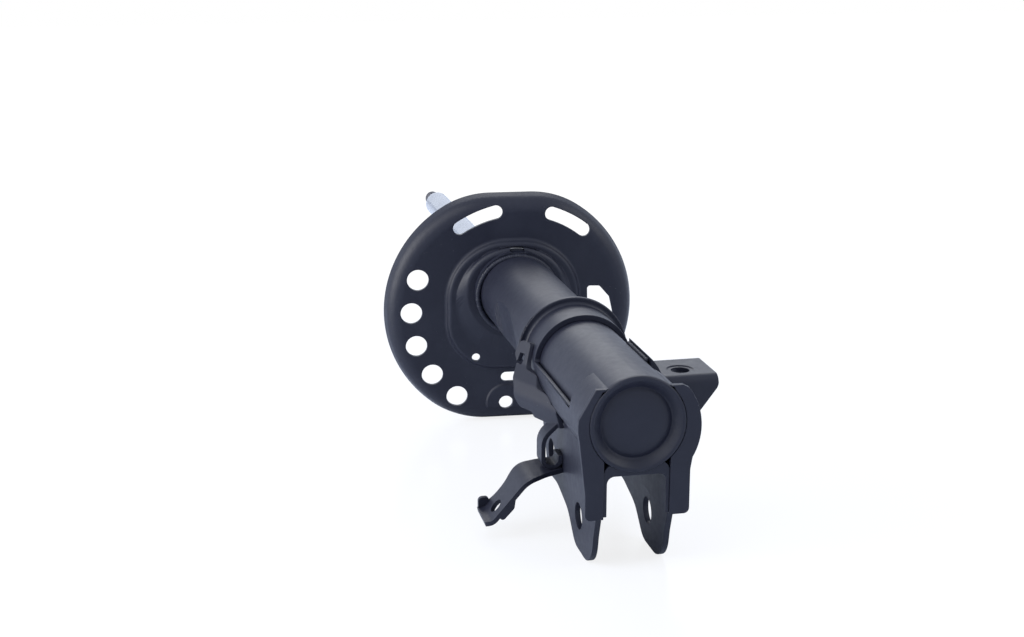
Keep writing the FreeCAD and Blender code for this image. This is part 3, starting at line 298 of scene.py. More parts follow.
# In every finish a fade is where a noise sets in and where it is full, a share is how much of it counts,
# a name that ends in rough adds to the roughness, and depth is a bump's depth in metres
@dataclass(frozen=True)
class DipPaint:
    """Satin black dip paint on pressed steel, with dust, faint scuffs and a fine grain."""

    name: str = "dip_paint"
    colour: tuple = (0.012, 0.0135, 0.024)
    worn: tuple = (0.027, 0.030, 0.045)
    dust: tuple = (0.30, 0.31, 0.33)
    dust_share: float = 0.55
    broad: Grain = Grain(26.0, 4.0, 0.6)
    broad_fade: tuple = (0.45, 0.75)
    broad_share: float = 0.30
    mottle: Grain = Grain(240.0, 3.0, 0.6)
    grain: Grain = Grain(2600.0, 2.0, 0.5)
    scuff: Grain = Grain(90.0, 5.0, 0.7)
    scuff_stretch: tuple = (1.0, 0.25, 1.0)
    scuff_fade: tuple = (0.60, 0.80)
    scuff_share: float = 0.35
    speck_scale: float = 330.0
    speck_fade: tuple = (0.035, 0.060)
    patch: Grain = Grain(45.0)
    patch_fade: tuple = (0.52, 0.62)
    rough: float = 0.45
    mottle_rough: float = 0.16
    broad_rough: float = 0.20
    speck_rough: float = 0.2
    specular: float = 0.27
    coat: float = 0.05
    coat_rough: float = 0.35
    grain_height: float = 0.35
    mottle_height: float = 0.65
    depth: float = 0.00006
    strength: float = 0.55

    def make(self) -> bpy.types.Material:
        """Build the material.

        Returns:
            The paint.
        """
        g = Skin(self.name)
        broad = g.noise(self.broad)
        mottle = g.noise(self.mottle)
        scuff = g.noise(self.scuff, g.stretched(self.scuff_stretch)).ramp(*self.scuff_fade)
        worn = scuff * self.scuff_share + broad.ramp(*self.broad_fade) * self.broad_share
        base = g.blend(worn, self.colour, self.worn)
        dots = 1.0 - g.cells(self.speck_scale).ramp(*self.speck_fade)
        specks = dots * g.noise(self.patch).ramp(*self.patch_fade)
        colour = g.blend(specks * self.dust_share, base, self.dust)
        sheen = self.rough + (mottle - NOISE_MEAN) * self.mottle_rough
        rough = sheen + (broad - NOISE_MEAN) * self.broad_rough + specks * self.speck_rough
        height = g.noise(self.grain) * self.grain_height + mottle * self.mottle_height
        return g.surface(
            Base_Color=colour, Roughness=rough, Metallic=0.0, Specular_IOR_Level=self.specular,
            Coat_Weight=self.coat, Coat_Roughness=self.coat_rough,
            Normal=g.bump(height, self.depth, self.strength),
        )


@dataclass(frozen=True)
class GroundChrome:
    """Ground and plated rod: a bright mirror with hair-fine rings."""

    name: str = "ground_chrome"
    colour: tuple = (0.95, 0.96, 0.97)
    hazed: tuple = (0.88, 0.89, 0.92)
    rings: Grain = Grain(700.0, 2.0, 0.5)
    ring_stretch: tuple = (0.02, 1.0, 0.02)
    haze: Grain = Grain(60.0)
    colour_fade: tuple = (0.4, 0.8)
    rough_fade: tuple = (0.5, 0.8)
    rough: float = 0.09
    ring_rough: float = 0.07
    haze_rough: float = 0.06
    depth: float = 0.000004
    strength: float = 0.6

    def make(self) -> bpy.types.Material:
        """Build the material.

        Returns:
            The plating.
        """
        g = Skin(self.name)
        rings = g.noise(self.rings, g.stretched(self.ring_stretch))
        haze = g.noise(self.haze)
        colour = g.blend(haze.ramp(*self.colour_fade), self.colour, self.hazed)
        rough = self.rough + rings * self.ring_rough + haze.ramp(*self.rough_fade) * self.haze_rough
        return g.surface(Base_Color=colour, Metallic=1.0, Roughness=rough,
                         Normal=g.bump(rings, self.depth, self.strength))


@dataclass(frozen=True)
class BareMetal:
    """Bare metal: its colours, its roughness, and the scale and depth of its grain."""

    name: str
    colour: tuple
    dark: tuple
    rough: float
    grain: float
    depth: float
    fine_detail: tuple = (4.0, 0.6)
    fine_fade: tuple = (0.4, 0.7)
    fine_share: float = 0.25
    fine_rough: float = 0.2
    broad_ratio: float = 0.08
    broad_detail: tuple = (3.0, 0.6)
    broad_fade: tuple = (0.35, 0.7)
    broad_share: float = 0.6
    strength: float = 0.7

    def make(self) -> bpy.types.Material:
        """Build the material.

        Returns:
            The metal.
        """
        g = Skin(self.name)
        fine = g.noise(Grain(self.grain, *self.fine_detail))
        broad = g.noise(Grain(self.grain * self.broad_ratio, *self.broad_detail))
        shade = broad.ramp(*self.broad_fade) * self.broad_share + fine.ramp(*self.fine_fade) * self.fine_share
        return g.surface(
            Base_Color=g.blend(shade, self.colour, self.dark), Metallic=1.0,
            Roughness=self.rough + (fine - NOISE_MEAN) * self.fine_rough,
            Normal=g.bump(fine, self.depth, self.strength),
        )


@dataclass(frozen=True)
class Polymer:
    """Rubber or plastic: a dull dark skin with a mould's grain."""

    name: str
    colour: tuple
    light: tuple
    rough: float
    bloom: Grain = Grain(120.0, 4.0, 0.6)
    bloom_fade: tuple = (0.4, 0.8)
    bloom_rough: float = 0.15
    grain: Grain = Grain(1800.0, 2.0, 0.5)
    depth: float = 0.00005
    strength: float = 0.6

    def make(self) -> bpy.types.Material:
        """Build the material.

        Returns:
            The rubber or plastic.
        """
        g = Skin(self.name)
        bloom = g.noise(self.bloom)
        return g.surface(
            Base_Color=g.blend(bloom.ramp(*self.bloom_fade), self.colour, self.light),
            Roughness=self.rough + (bloom - NOISE_MEAN) * self.bloom_rough,
            Normal=g.bump(g.noise(self.grain), self.depth, self.strength),
        )


@dataclass(frozen=True)
class TableWhite:
    """A pale table top, which the camera sees as white with a soft shadow and reflection."""

    name: str = "table_white"
    colour: tuple = (0.78, 0.85, 1.0)
    rough: float = 0.22
    specular: float = 0.5
    glow: float = 1.08
    lift: float = 0.76
    fade: tuple = (0.45, 1.10)

    def make(self) -> bpy.types.Material:
        """Build the material, a little glossy near the strut and plain white further out.

        Returns:
            The table's finish.
        """
        g = Skin(self.name)
        g.surface(Base_Color=self.colour, Roughness=self.rough, Specular_IOR_Level=self.specular)
        white = g.node("ShaderNodeEmission", {}, {"Color": WHITE, "Strength": self.glow})
        reach = g.node("ShaderNodeVectorMath", {"operation": "LENGTH"}, {0: g.place}, "Value")
        lift = g.ray(Ray.CAMERA) * (self.lift + (1.0 - self.lift) * reach.ramp(*self.fade))
        g.close(g.node("ShaderNodeMixShader", {}, {"Fac": lift, 1: g.shader, 2: white}))
        return g.material


class Finish(Enum):
    """Every finish on the strut."""

    PAINT = DipPaint()
    CHROME = GroundChrome()
    STEEL = BareMetal("turned_steel", (0.56, 0.57, 0.58), (0.36, 0.37, 0.38), 0.30, 700.0, 0.00002)
    THREAD = BareMetal("rolled_thread_steel", (0.16, 0.16, 0.17), (0.07, 0.07, 0.08), 0.38, 900.0, 0.00002)
    BLUED = BareMetal("blued_spring_steel", (0.20, 0.22, 0.28), (0.10, 0.11, 0.15), 0.28, 800.0, 0.00001)
    SINTERED = BareMetal("sintered_iron", (0.26, 0.26, 0.27), (0.15, 0.15, 0.15), 0.55, 2200.0, 0.00008)
    BRONZE = BareMetal("bush_bronze", (0.62, 0.44, 0.22), (0.42, 0.29, 0.15), 0.35, 900.0, 0.00002)
    RUBBER = Polymer("seal_rubber", (0.012, 0.012, 0.012), (0.030, 0.030, 0.031), 0.62)
    BAND = Polymer("band_plastic", (0.10, 0.09, 0.08), (0.16, 0.15, 0.13), 0.50)

    def material(self) -> bpy.types.Material:
        """The finish's material, built once."""
        return bpy.data.materials.get(self.value.name) or self.value.make()


NODE_FINISH = {
    Finish.PAINT: ("reserve_tube", "base_cap", "spring_seat", "seat_weld", "knuckle_bracket", "clevis_gusset",
                   "link_bracket", "hose_strap", "hose_arm", "bracket_welds"),
    Finish.CHROME: ("piston_rod",),
    Finish.STEEL: ("inner_cylinder", "base_valve_rivet", "base_check_stop", "seal_plate", "piston_check_stop",
                   "piston_washer", "piston_nut", "rebound_stop"),
    Finish.BLUED: ("base_valve_discs", "base_check_plate", "piston_check_plate", "rebound_discs"),
    Finish.SINTERED: ("base_valve_body", "rod_guide", "piston"),
    Finish.BRONZE: ("guide_bush",),
    Finish.RUBBER: ("rod_seal", "rebound_bumper"),
    Finish.BAND: ("piston_band",),
}


class Bench:
    """The modelling steps that every piece is made with."""

    @staticmethod
    def pick(piece: bpy.types.Object) -> None:
        """Select one object alone and make it active."""
        bpy.ops.object.select_all(action="DESELECT")
        piece.select_set(True)
        bpy.context.view_layer.objects.active = piece

    @classmethod
    def edit(cls, piece: bpy.types.Object, steps: Callable[[], None], choice: Choice = Choice.CORNERS,
             everything: bool = True) -> None:
        """Run modelling steps on one object in edit mode.

        Args:
            piece: The object to shape.
            steps: What is done in edit mode.
            choice: What is selected.
            everything: Whether all is selected at the start, or else what was selected before.
        """
        cls.pick(piece)
        bpy.ops.object.mode_set(mode="EDIT")
        bpy.ops.mesh.select_mode(type=choice.value)
        if everything:
            bpy.ops.mesh.select_all(action="SELECT")
        steps()
        bpy.ops.object.mode_set(mode="OBJECT")

    @classmethod
    def settle(cls, piece: bpy.types.Object) -> None:
        """Put an object's place, turn and scale into its mesh."""
        cls.pick(piece)
        bpy.ops.object.transform_apply(location=True, rotation=True, scale=True)

    @classmethod
    def close(cls, piece: bpy.types.Object) -> None:
        """Merge doubled corners and turn all faces outwards.

        Args:
            piece: The object, whose surface has no gap.
        """
        def steps() -> None:
            """Merge, then work out the normals again."""
            bpy.ops.mesh.remove_doubles(threshold=MERGE_LIMIT)
            bpy.ops.mesh.normals_make_consistent(inside=False)

        cls.edit(piece, steps)

    @classmethod
    def smooth(cls, piece: bpy.types.Object, angle: float = SMOOTH_ANGLE) -> None:
        """Shade smooth across all but sharp edges."""
        cls.pick(piece)
        bpy.ops.object.shade_smooth_by_angle(angle=angle)

    @classmethod
    def modify(cls, piece: bpy.types.Object, kind: str, **settings: object) -> None:
        """Add a modifier and apply it.

        Args:
            piece: The object to change.
            kind: Blender's type name for the modifier.
            **settings: The modifier's own settings.
        """
        cls.pick(piece)
        modifier = piece.modifiers.new(kind.lower(), kind)
        for key, value in settings.items():
            setattr(modifier, key, value)
        bpy.ops.object.modifier_apply(modifier=modifier.name)

    @classmethod
    def cut(cls, piece: bpy.types.Object, tool: bpy.types.Object) -> None:
        """Cut a tool's shape out of a piece and throw the tool away."""
        cls.modify(piece, "BOOLEAN", operation="DIFFERENCE", object=tool, solver="EXACT")
        bpy.data.objects.remove(tool)

    @staticmethod
    def copies(piece: bpy.types.Object, places: list) -> list:
        """Copy a piece to further places, each copy with a mesh of its own.

        Args:
            piece: The model, which stays where it is.
            places: A matrix for each copy.

        Returns:
            The copies.
        """
        made = []
        for place in places:
            twin = bpy.data.objects.new(piece.name, piece.data.copy())
            twin.data.transform(place)
            bpy.context.scene.collection.objects.link(twin)
            made.append(twin)
        return made

    @classmethod
    def join(cls, name: str, parts: list) -> bpy.types.Object:
        """Make one object of several.

        Args:
            name: The new object's name.
            parts: The objects, which are used up.

        Returns:
            The one object.
        """
        cls.pick(parts[0])
        for part in parts[1:]:
            part.select_set(True)
        bpy.ops.object.join()
        parts[0].name = name
        return parts[0]

    @classmethod
    def turn(cls, name: str, profile: tuple, corners: int) -> bpy.types.Object:
        """Turn a solid bar on the damper's axis from a disc that is extruded and scaled step by step.

        Args:
            name: The object's name.
            profile: (radius, station) pairs along the bar, from flat end to flat end.
            corners: Corners of the disc.

        Returns:
            The bar, closed at both ends.
        """
        (radius, station), *rest = profile
        bpy.ops.mesh.primitive_circle_add(vertices=corners, radius=radius * MM, fill_type="NGON",
                                          location=at(0.0, station, 0.0), rotation=(-math.pi / 2, 0.0, 0.0))
        bar = bpy.context.object
        bar.name = name
        cls.settle(bar)

        def steps() -> None:
            """Extrude to each station and scale to its radius."""
            here, wide = station, radius
            for next_wide, next_here in rest:
                step = (0.0, (next_here - here) * MM, 0.0)
                bpy.ops.mesh.extrude_region_move(TRANSFORM_OT_translate={"value": step})
                ratio = next_wide / wide
                bpy.ops.transform.resize(value=(ratio, 1.0, ratio), center_override=at(0.0, next_here, 0.0))
                here, wide = next_here, next_wide

        cls.edit(bar, steps)
        cls.close(bar)
        return bar


@dataclass(frozen=True, kw_only=True)
class Piece:
    """A modelled piece that rides a body and takes the place of nodes."""

    nodes: tuple
    body: Body = Body.STRUT
    slot: str = PAINT_SLOT
    finish: Finish = Finish.PAINT

    def model(self) -> bpy.types.Object:
        """Shape the mesh."""
        raise NotImplementedError

    def build(self) -> None:
        """Model the piece, dress it, hang it on its body and report it."""
        piece = self.model()
        piece.data.materials.clear()
        piece.data.materials.append(self.finish.material())
        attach(piece, self.body.value)
        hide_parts(*self.nodes)
        LOG.info("%s: %d faces", piece.name, len(piece.data.polygons))


@dataclass(frozen=True, kw_only=True)
class Pressing(Piece):
    """A pressed sheet part whose sheared edges are broken to a small round."""

    source: bpy.types.Mesh
    edge: float
    facets: int = 2
    fullness: float = 0.6
    flat_angle: float = math.radians(0.5)
    sharp_angle: float = math.radians(38.0)

    def model(self) -> bpy.types.Object:
        """Copy the node's mesh, merge it, round its sharp edges and take back what flew off.

        Returns:
            The pressing.
        """
        piece = bpy.data.objects.new(self.nodes[0] + "_pressing", self.source.copy())
        bpy.context.scene.collection.objects.link(piece)
        Bench.edit(piece, self.merge)
        skin = BVHTree.FromPolygons([v.co.copy() for v in piece.data.vertices],
                                    [tuple(p.vertices) for p in piece.data.polygons])
        Bench.edit(piece, self.round_edges, Choice.EDGES)
        self.take_back(piece, skin)
        Bench.smooth(piece)
        Bench.modify(piece, "WEIGHTED_NORMAL", keep_sharp=True)
        return piece

    def merge(self) -> None:
        """Sew the facets up and join those that lie in one plane."""
        bpy.ops.mesh.remove_doubles(threshold=MERGE_LIMIT)
        bpy.ops.mesh.select_all(action="SELECT")
        bpy.ops.mesh.dissolve_limited(angle_limit=self.flat_angle, use_dissolve_boundaries=False)

    def round_edges(self) -> None:
        """Bevel every sharp edge."""
        bpy.ops.mesh.select_all(action="DESELECT")
        bpy.ops.mesh.edges_select_sharp(sharpness=self.sharp_angle)
        bpy.ops.mesh.bevel(offset=self.edge * MM, segments=self.facets, profile=self.fullness, affect="EDGES",
                           clamp_overlap=False, miter_outer="SHARP")

    def take_back(self, piece: bpy.types.Object, skin: BVHTree) -> None:
        """Put corners that the bevel threw off the sheet back on its skin.

        Args:
            piece: The bevelled sheet.
            skin: The sheet's surface before the bevel.
        """
        reach = self.edge * MM
        for vertex in piece.data.vertices:
            spot, normal, _, gap = skin.find_nearest(vertex.co)
            if gap > reach or (vertex.co - spot).dot(normal) > MERGE_LIMIT:
                vertex.co = spot


@dataclass(frozen=True, kw_only=True)
class EndCap(Piece):
    """The tube's end: a rolled rim, a sloping shoulder, a soft valley and a low dome.

    The pairs are (radius, station), from the middle of the cap's back round to its face.
    """

    nodes: tuple = ("base_cap",)
    back: tuple = ((0.5, 2.2), (8.0, 2.6), (12.0, 3.6), (16.0, 5.0), (19.0, 6.0), (20.8, 6.6),
                   (20.8, 10.9), (23.4, 10.9), (23.4, 2.0))
    rim: tuple = ((TUBE_R, 2.0), (TUBE_R, -0.5), (25.2, -1.1), (24.7, -1.4), (24.1, -1.5))
    slope: tuple = ((23.5, -1.42), (19.7, 2.2))
    slope_power: float = 1.15
    valley: tuple = ((19.35, 2.55), (18.8, 2.85), (18.2, 2.6))
    dome_r: float = 17.7
    dome_top: float = -0.9
    dome_rise: float = 3.1
    dome_power: float = 2.6
    middle_r: float = 0.5
    steps: int = 12
    corners: int = 128

    def dome(self, radius: float) -> float:
        """Station of the dome's skin at a radius."""
        return self.dome_top + self.dome_rise * (radius / self.dome_r) ** self.dome_power

    def model(self) -> bpy.types.Object:
        """Turn the cap.

        Returns:
            The cap.
        """
        (wide, near), (narrow, deep) = self.slope
        slope, face = [], []
        for step in range(self.steps + 1):
            share = step / self.steps
            slope.append((wide + (narrow - wide) * share, near + (deep - near) * share ** self.slope_power))
            radius = self.dome_r * (1.0 - share) + self.middle_r * share
            face.append((radius, self.dome(radius)))
        cap = Bench.turn("end_cap", (*self.back, *self.rim, *slope, *self.valley, *face), self.corners)
        Bench.smooth(cap)
        return cap


@dataclass(frozen=True, kw_only=True)
class RodShaft(Piece):
    """The plated rod, from the spigot that carries the piston to the shoulder under its stud."""

    nodes: tuple = ("piston_rod",)
    body: Body = Body.ROD
    slot: str = ROD_SLOT
    finish: Finish = Finish.CHROME
    radius: float = 10.0
    foot: float = 260.6
    spigot_r: float = 4.95
    foot_chamfer: float = 0.55
    shoulder: float = 299.95
    shoulder_chamfer: float = 0.4
    end: float = STUD_START
    # (radius beyond the rod's, rise above the end) pairs
    taper: tuple = ((0.0, -1.5), (-0.25, -1.1), (-1.5, 0.0))
    corners: int = 128

    def model(self) -> bpy.types.Object:
        """Turn the bar.

        Returns:
            The shaft.
        """
        rod = Bench.turn("rod_shaft", (
            (self.spigot_r - self.foot_chamfer, self.foot),
            (self.spigot_r, self.foot + self.foot_chamfer),
            (self.spigot_r, self.shoulder),
            (self.radius - self.shoulder_chamfer, self.shoulder),
            (self.radius, self.shoulder + self.shoulder_chamfer),
            *((self.radius + wider, self.end + rise) for wider, rise in self.taper),
        ), self.corners)
        Bench.smooth(rod)
        return rod


@dataclass(frozen=True, kw_only=True)
class Stud(Piece):
    """The rod's threaded end with a hexagon socket."""

    nodes: tuple = ("piston_rod",)
    body: Body = Body.ROD
    slot: str = ROD_SLOT
    finish: Finish = Finish.THREAD
    start: float = STUD_START
    end: float = 632.0
    sunk: float = 1.0
    neck_r: float = 5.1
    neck_length: float = 1.5
    neck_chamfer: float = 0.3
    root_r: float = 5.24
    end_chamfer: float = 0.6
    corners: int = 64
    crest_r: float = 6.0
    pitch: float = 1.25
    turns: int = 19
    turn_steps: int = 48
    tooth_sunk: float = 0.15
    tooth_share: float = 0.92
    crest_share: float = 0.16
    socket_width: float = 5.0
    socket_depth: float = 6.0
    socket_clearance: float = 1.0
    drill_point: tuple = (0.6, 1.0)

    def model(self) -> bpy.types.Object:
        """Turn the core, cut its socket and wind the thread on it.

        Returns:
            The stud.
        """
        neck_end = self.start + self.neck_length
        core = Bench.turn("rod_stud", (
            (self.neck_r, self.start - self.sunk),
            (self.neck_r, neck_end),
            (self.root_r, neck_end + self.neck_chamfer),
            (self.root_r, self.end - self.end_chamfer),
            (self.root_r - self.end_chamfer, self.end),
        ), self.corners)
        Bench.cut(core, self.hexagon())
        stud = Bench.join("rod_stud", [core, self.thread()])
        Bench.smooth(stud)
        return stud

    def hexagon(self) -> bpy.types.Object:
        """The tool that cuts the socket, with a drill's point below it.

        Returns:
            The tool.
        """
        reach = self.socket_width / 2 / math.cos(math.pi / 6)
        floor, top = self.end - self.socket_depth, self.end + self.socket_clearance
        tip_r, tip_depth = self.drill_point
        return Bench.turn("socket_tool", ((tip_r, floor - tip_depth), (reach, floor), (reach, top)), 6)

    def thread(self) -> bpy.types.Object:
        """Wind one tooth round the axis and close it at both ends.

        Returns:
            The ridge.
        """
        low, high = self.root_r - self.tooth_sunk, self.crest_r
        middle = (low + high) / 2 * MM
        bpy.ops.mesh.primitive_plane_add(size=1.0)
        ridge = bpy.context.object

        def tooth() -> None:
            """Size the section and leave only its outline."""
            bpy.ops.transform.resize(value=((high - low) * MM, self.pitch * self.tooth_share * MM, 1.0))
            bpy.ops.transform.translate(value=(middle, 0.0, 0.0))
            bpy.ops.mesh.delete(type="ONLY_FACE")

        def taper() -> None:
            """Narrow the crest."""
            bpy.ops.transform.resize(value=(1.0, self.crest_share, 1.0))

        def caps() -> None:
            """Close the two ends."""
            bpy.ops.mesh.select_all(action="DESELECT")
            bpy.ops.mesh.select_non_manifold()
            bpy.ops.mesh.fill_holes(sides=0)

        Bench.edit(ridge, tooth)
        for vertex in ridge.data.vertices:
            vertex.select = vertex.co.x > middle
        Bench.edit(ridge, taper, everything=False)
        Bench.modify(ridge, "SCREW", axis="Y", angle=math.tau, screw_offset=self.pitch * MM,
                     iterations=self.turns, steps=self.turn_steps, render_steps=self.turn_steps,
                     use_merge_vertices=True)
        Bench.edit(ridge, caps)
        first = self.start + self.neck_length + self.pitch / 2
        ridge.data.transform(Matrix.Translation(at(0.0, first, 0.0)))
        Bench.close(ridge)
        return ridge


@dataclass(frozen=True, kw_only=True)
class WeldBead(Piece):
    """A rippled bead: overlapping scales along its paths, melted into one.

    Each scale falls short of the bead's radius by its turn in a beat of three and by a slow sway.
    """

    radius: float
    ripple: float = 1.5
    voxel: float = 0.3
    scale_facets: tuple = (20, 12)
    scale_length: float = 0.72
    scale_lean: float = math.radians(14.0)
    beat: tuple = (0.0, 0.035, 0.07)
    sway: float = 0.04
    sway_step: float = 1.7

    def paths(self) -> list:
        """For each path a list of (point, direction) pairs in metres, one ripple apart."""
        raise NotImplementedError

    def model(self) -> bpy.types.Object:
        """Lay the scales and melt them.

        Returns:
            The bead.
        """
        segments, rings = self.scale_facets
        bpy.ops.mesh.primitive_uv_sphere_add(segments=segments, ring_count=rings, radius=self.radius * MM)
        scale = bpy.context.object
        lean = Matrix.Rotation(self.scale_lean, 4, "X")
        places = []
        for path in self.paths():
            for number, (point, along) in enumerate(path):
                swell = self.swell(number)
                shape = Matrix.Diagonal((swell, swell, self.scale_length, 1.0))
                turn = along.to_track_quat("Z", "X").to_matrix().to_4x4()
                places.append(Matrix.Translation(point) @ turn @ lean @ shape)
        scales = Bench.copies(scale, places)
        bpy.data.objects.remove(scale)
        bead = Bench.join(self.nodes[0] + "_bead", scales)
        Bench.modify(bead, "REMESH", mode="VOXEL", voxel_size=self.voxel * MM)
        Bench.close(bead)
        Bench.smooth(bead, math.pi)
        return bead

    def swell(self, number: int) -> float:
        """How large a scale is, against the bead's radius."""
        return 1.0 - self.beat[number % len(self.beat)] - self.sway * math.sin(number * self.sway_step)

    def straight(self, start: Vector, end: Vector) -> list:
        """Lay a straight path.

        Args:
            start: Its first point in metres.
            end: Its last point.

        Returns:
            (point, direction) pairs one ripple apart.
        """
        span = end - start
        count = max(2, round(span.length / (self.ripple * MM)))
        return [(start + span * (i / count), span.normalized()) for i in range(count + 1)]

    def ring(self, centre: Vector, axis: Vector, radius: float) -> list:
        """Lay a path round a circle.

        Args:
            centre: The circle's middle in metres.
            axis: The way that it faces.
            radius: Its radius in millimetres.

        Returns:
            (point, direction) pairs one ripple apart.
        """
        side = axis.orthogonal().normalized()
        over = axis.cross(side).normalized()
        count = round(math.tau * radius / self.ripple)
        path = []
        for number in range(count):
            turn = math.tau * number / count
            out = side * math.cos(turn) + over * math.sin(turn)
            path.append((centre + out * radius * MM, axis.cross(out).normalized()))
        return path


@dataclass(frozen=True, kw_only=True)
class SeatBead(WeldBead):
    """The ring that holds the spring seat's leaning collar to the tube."""

    nodes: tuple = ("seat_weld",)
    radius: float = 1.9
    # How far the ring's middle line stands off the tube, as a share of the bead's radius
    stand_share: float = 0.55
    seat_shift: float = 2.4
    seat_station: float = 292.0
    seat_drop: float = 17.5
    seat_yaw: float = math.radians(-3.5)
    seat_pitch: float = math.radians(93.7)
    collar_edge: float = 12.0

    def paths(self) -> list:
        """One ring on the collar's edge, square to the seat.

        Returns:
            The path, alone in a list.
        """
        lean = Matrix.Rotation(self.seat_yaw, 4, "Z") @ Matrix.Rotation(self.seat_pitch, 4, "X")
        seat = Matrix.Translation((self.seat_shift, self.seat_station, -self.seat_drop)) @ lean
        centre = at(*(seat @ Vector((-self.seat_shift, self.seat_drop, self.collar_edge + self.radius))))
        axis = (seat.to_3x3() @ Vector((0.0, 0.0, 1.0))).normalized()
        return [self.ring(centre, axis, TUBE_R + self.radius * self.stand_share)]


@dataclass(frozen=True, kw_only=True)
class BracketBeads(WeldBead):
    """Three straight beads along the knuckle bracket's wrapped edges."""

    nodes: tuple = ("bracket_welds",)
    radius: float = 1.5
    stand: float = 0.8
    # (distance to the side, first station, last station)
    clevis: tuple = (16.0, 70.0, 130.0)
    shoulder: tuple = (19.1, 47.0, 83.5)

    def paths(self) -> list:
        """Two beads under the tube at the clevis and one over it at the right shoulder.

        Returns:
            The three paths.
        """
        lie = TUBE_R + self.stand
        paths = []
        for side, up, (x, start, end) in ((-1, -1, self.clevis), (1, -1, self.clevis), (1, 1, self.shoulder)):
            z = up * math.sqrt(lie ** 2 - x ** 2)
            first, last = at(side * x, start + self.radius, z), at(side * x, end - self.radius, z)
            paths.append(self.straight(first, last))
        return paths


@dataclass(frozen=True)
class Details:
    """All pieces that are modelled here in place of plain nodes, with each pressing's round."""

    edges: tuple = (("knuckle_bracket", 0.5), ("clevis_gusset", 0.3), ("link_bracket", 0.4),
                    ("hose_strap", 0.35), ("spring_seat", 0.4))

    def build(self, frame: dict) -> None:
        """Make every piece.

        Args:
            frame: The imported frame.
        """
        pieces = [Pressing(nodes=(node,), source=frame["nodes"][node].data, edge=edge)
                  for node, edge in self.edges]
        pieces += [EndCap(), RodShaft(), Stud(), SeatBead(), BracketBeads()]
        for piece in pieces:
            piece.build()


@dataclass(frozen=True)
class Table:
    """The table top that the strut lies on, in metres."""

    half: float = 14.0
    steepest: float = 0.3
    halvings: int = 40
    finish: TableWhite = TableWhite()

    def line(self, frame: dict) -> tuple:
        """Find the plane that the knuckle's ears and the seat's rim stand on, seen from the side.

        Args:
            frame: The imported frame.

        Returns:
            The plane's height at y = 0 and its slope along Y.
        """
        def points(name: str) -> list:
            """The side view of a node's corners."""
            return [(v.co.y, v.co.z) for v in frame["nodes"][name].data.vertices]

        ears, seat = points("knuckle_bracket"), points("spring_seat")
        low, high = -self.steepest, self.steepest
        for _ in range(self.halvings):
            slope = (low + high) / 2
            under_ears = min(z - slope * y for y, z in ears)
            under_seat = min(z - slope * y for y, z in seat)
            low, high = (low, slope) if under_seat < under_ears else (slope, high)
        return min(under_ears, under_seat), slope

    def build(self, frame: dict) -> None:
        """Slide the table under the strut.

        Args:
            frame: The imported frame.
        """
        height, slope = self.line(frame)
        bpy.ops.mesh.primitive_plane_add(size=2 * self.half, location=(0.0, 0.0, 0.0))
        table = bpy.context.object
        table.name = "table_top"
        tilt = Matrix.Rotation(math.atan(slope), 4, "X")
        table.data.transform(Matrix.Translation((0.0, 0.0, height)) @ tilt)
        table.data.materials.append(self.finish.make())


@dataclass(frozen=True)
class SoftBox:
    """A square lamp that looks at a target, in metres and watts."""

    name: str
    place: tuple
    target: tuple
    size: float
    power: float

    def build(self) -> None:
        """Hang the lamp."""
        data = bpy.data.lights.new(self.name, "AREA")
        data.shape = "SQUARE"
        data.size = self.size
        data.energy = self.power
        lamp = bpy.data.objects.new(self.name, data)
        aim = (Vector(self.target) - Vector(self.place)).to_track_quat("-Z", "Y")
        lamp.matrix_world = Matrix.Translation(self.place) @ aim.to_matrix().to_4x4()
        bpy.context.scene.collection.objects.link(lamp)


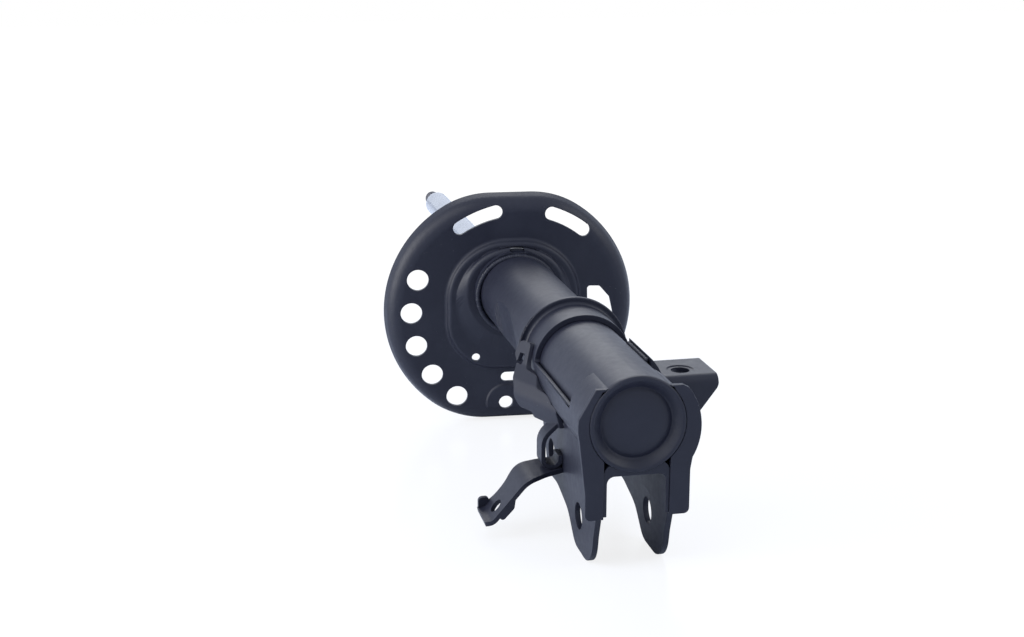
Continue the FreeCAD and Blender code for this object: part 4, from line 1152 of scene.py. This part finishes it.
@dataclass(frozen=True)
class Studio:
    """Camera, table, world and lamps."""

    eye: tuple = (-220.12, -711.69, 254.79)
    look: tuple = (0.2057, 0.9435, -0.2598)
    up: tuple = (0.0553, 0.2538, 0.9657)
    lens: float = 54.68
    sensor: float = 36.0
    far_clip: float = 60.0
    sky: tuple = (0.78, 0.85, 1.0)
    sky_power: float = 0.55
    mirror_power: float = 1.1
    table: Table = Table()
    lamps: tuple = (
        SoftBox("key_box", (-1.1, -0.5, 1.5), (0.0, 0.15, 0.05), 1.3, 11.0),
        SoftBox("fill_box", (1.5, -0.4, 1.1), (0.0, 0.15, 0.05), 1.2, 9.0),
        SoftBox("back_box", (0.2, 1.7, 1.3), (0.0, 0.25, 0.05), 1.2, 12.0),
        SoftBox("left_box", (-1.6, 0.1, 0.5), (-0.05, 0.2, 0.05), 1.1, 24.0),
    )

    def camera(self) -> None:
        """Place the camera where the photograph was taken from."""
        data = bpy.data.cameras.new("camera")
        data.lens = self.lens
        data.sensor_width = self.sensor
        data.clip_end = self.far_clip
        camera = bpy.data.objects.new("camera", data)
        back = -Vector(self.look).normalized()
        right = Vector(self.up).cross(back).normalized()
        turn = Matrix((right, back.cross(right), back)).transposed()
        camera.matrix_world = Matrix.Translation(at(*self.eye)) @ turn.to_4x4()
        bpy.context.scene.collection.objects.link(camera)
        bpy.context.scene.camera = camera

    def world(self) -> None:
        """Set a pale world that is white to the camera and bright where metal mirrors it."""
        world = bpy.data.worlds.new("studio")
        bpy.context.scene.world = world
        world.use_nodes = True
        g = Graph(world.node_tree, "ShaderNodeOutputWorld")
        seen, mirrored = g.ray(Ray.CAMERA), g.ray(Ray.GLOSSY)
        colour = g.blend(seen, self.sky, WHITE)
        extra = (1.0 - self.sky_power) * seen + (self.mirror_power - self.sky_power) * mirrored
        power = self.sky_power + extra
        g.close(g.node("ShaderNodeBackground", {}, {"Color": colour, "Strength": power}))

    def build(self, frame: dict) -> None:
        """Set the whole studio.

        Args:
            frame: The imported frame.
        """
        self.camera()
        self.table.build(frame)
        self.world()
        for lamp in self.lamps:
            lamp.build()
        bpy.context.scene.view_settings.view_transform = "Standard"


def dress_nodes(frame: dict) -> None:
    """Give every node of the frame its finish.

    Args:
        frame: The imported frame.
    """
    for finish, names in NODE_FINISH.items():
        for name in names:
            data = frame["nodes"][name].data
            data.materials.clear()
            data.materials.append(finish.material())


def main() -> None:
    """Build the looks in order."""
    logging.basicConfig(level=logging.INFO)
    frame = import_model()
    Studio().build(frame)
    dress_nodes(frame)
    Details().build(frame)


if __name__ == "__main__":
    main()
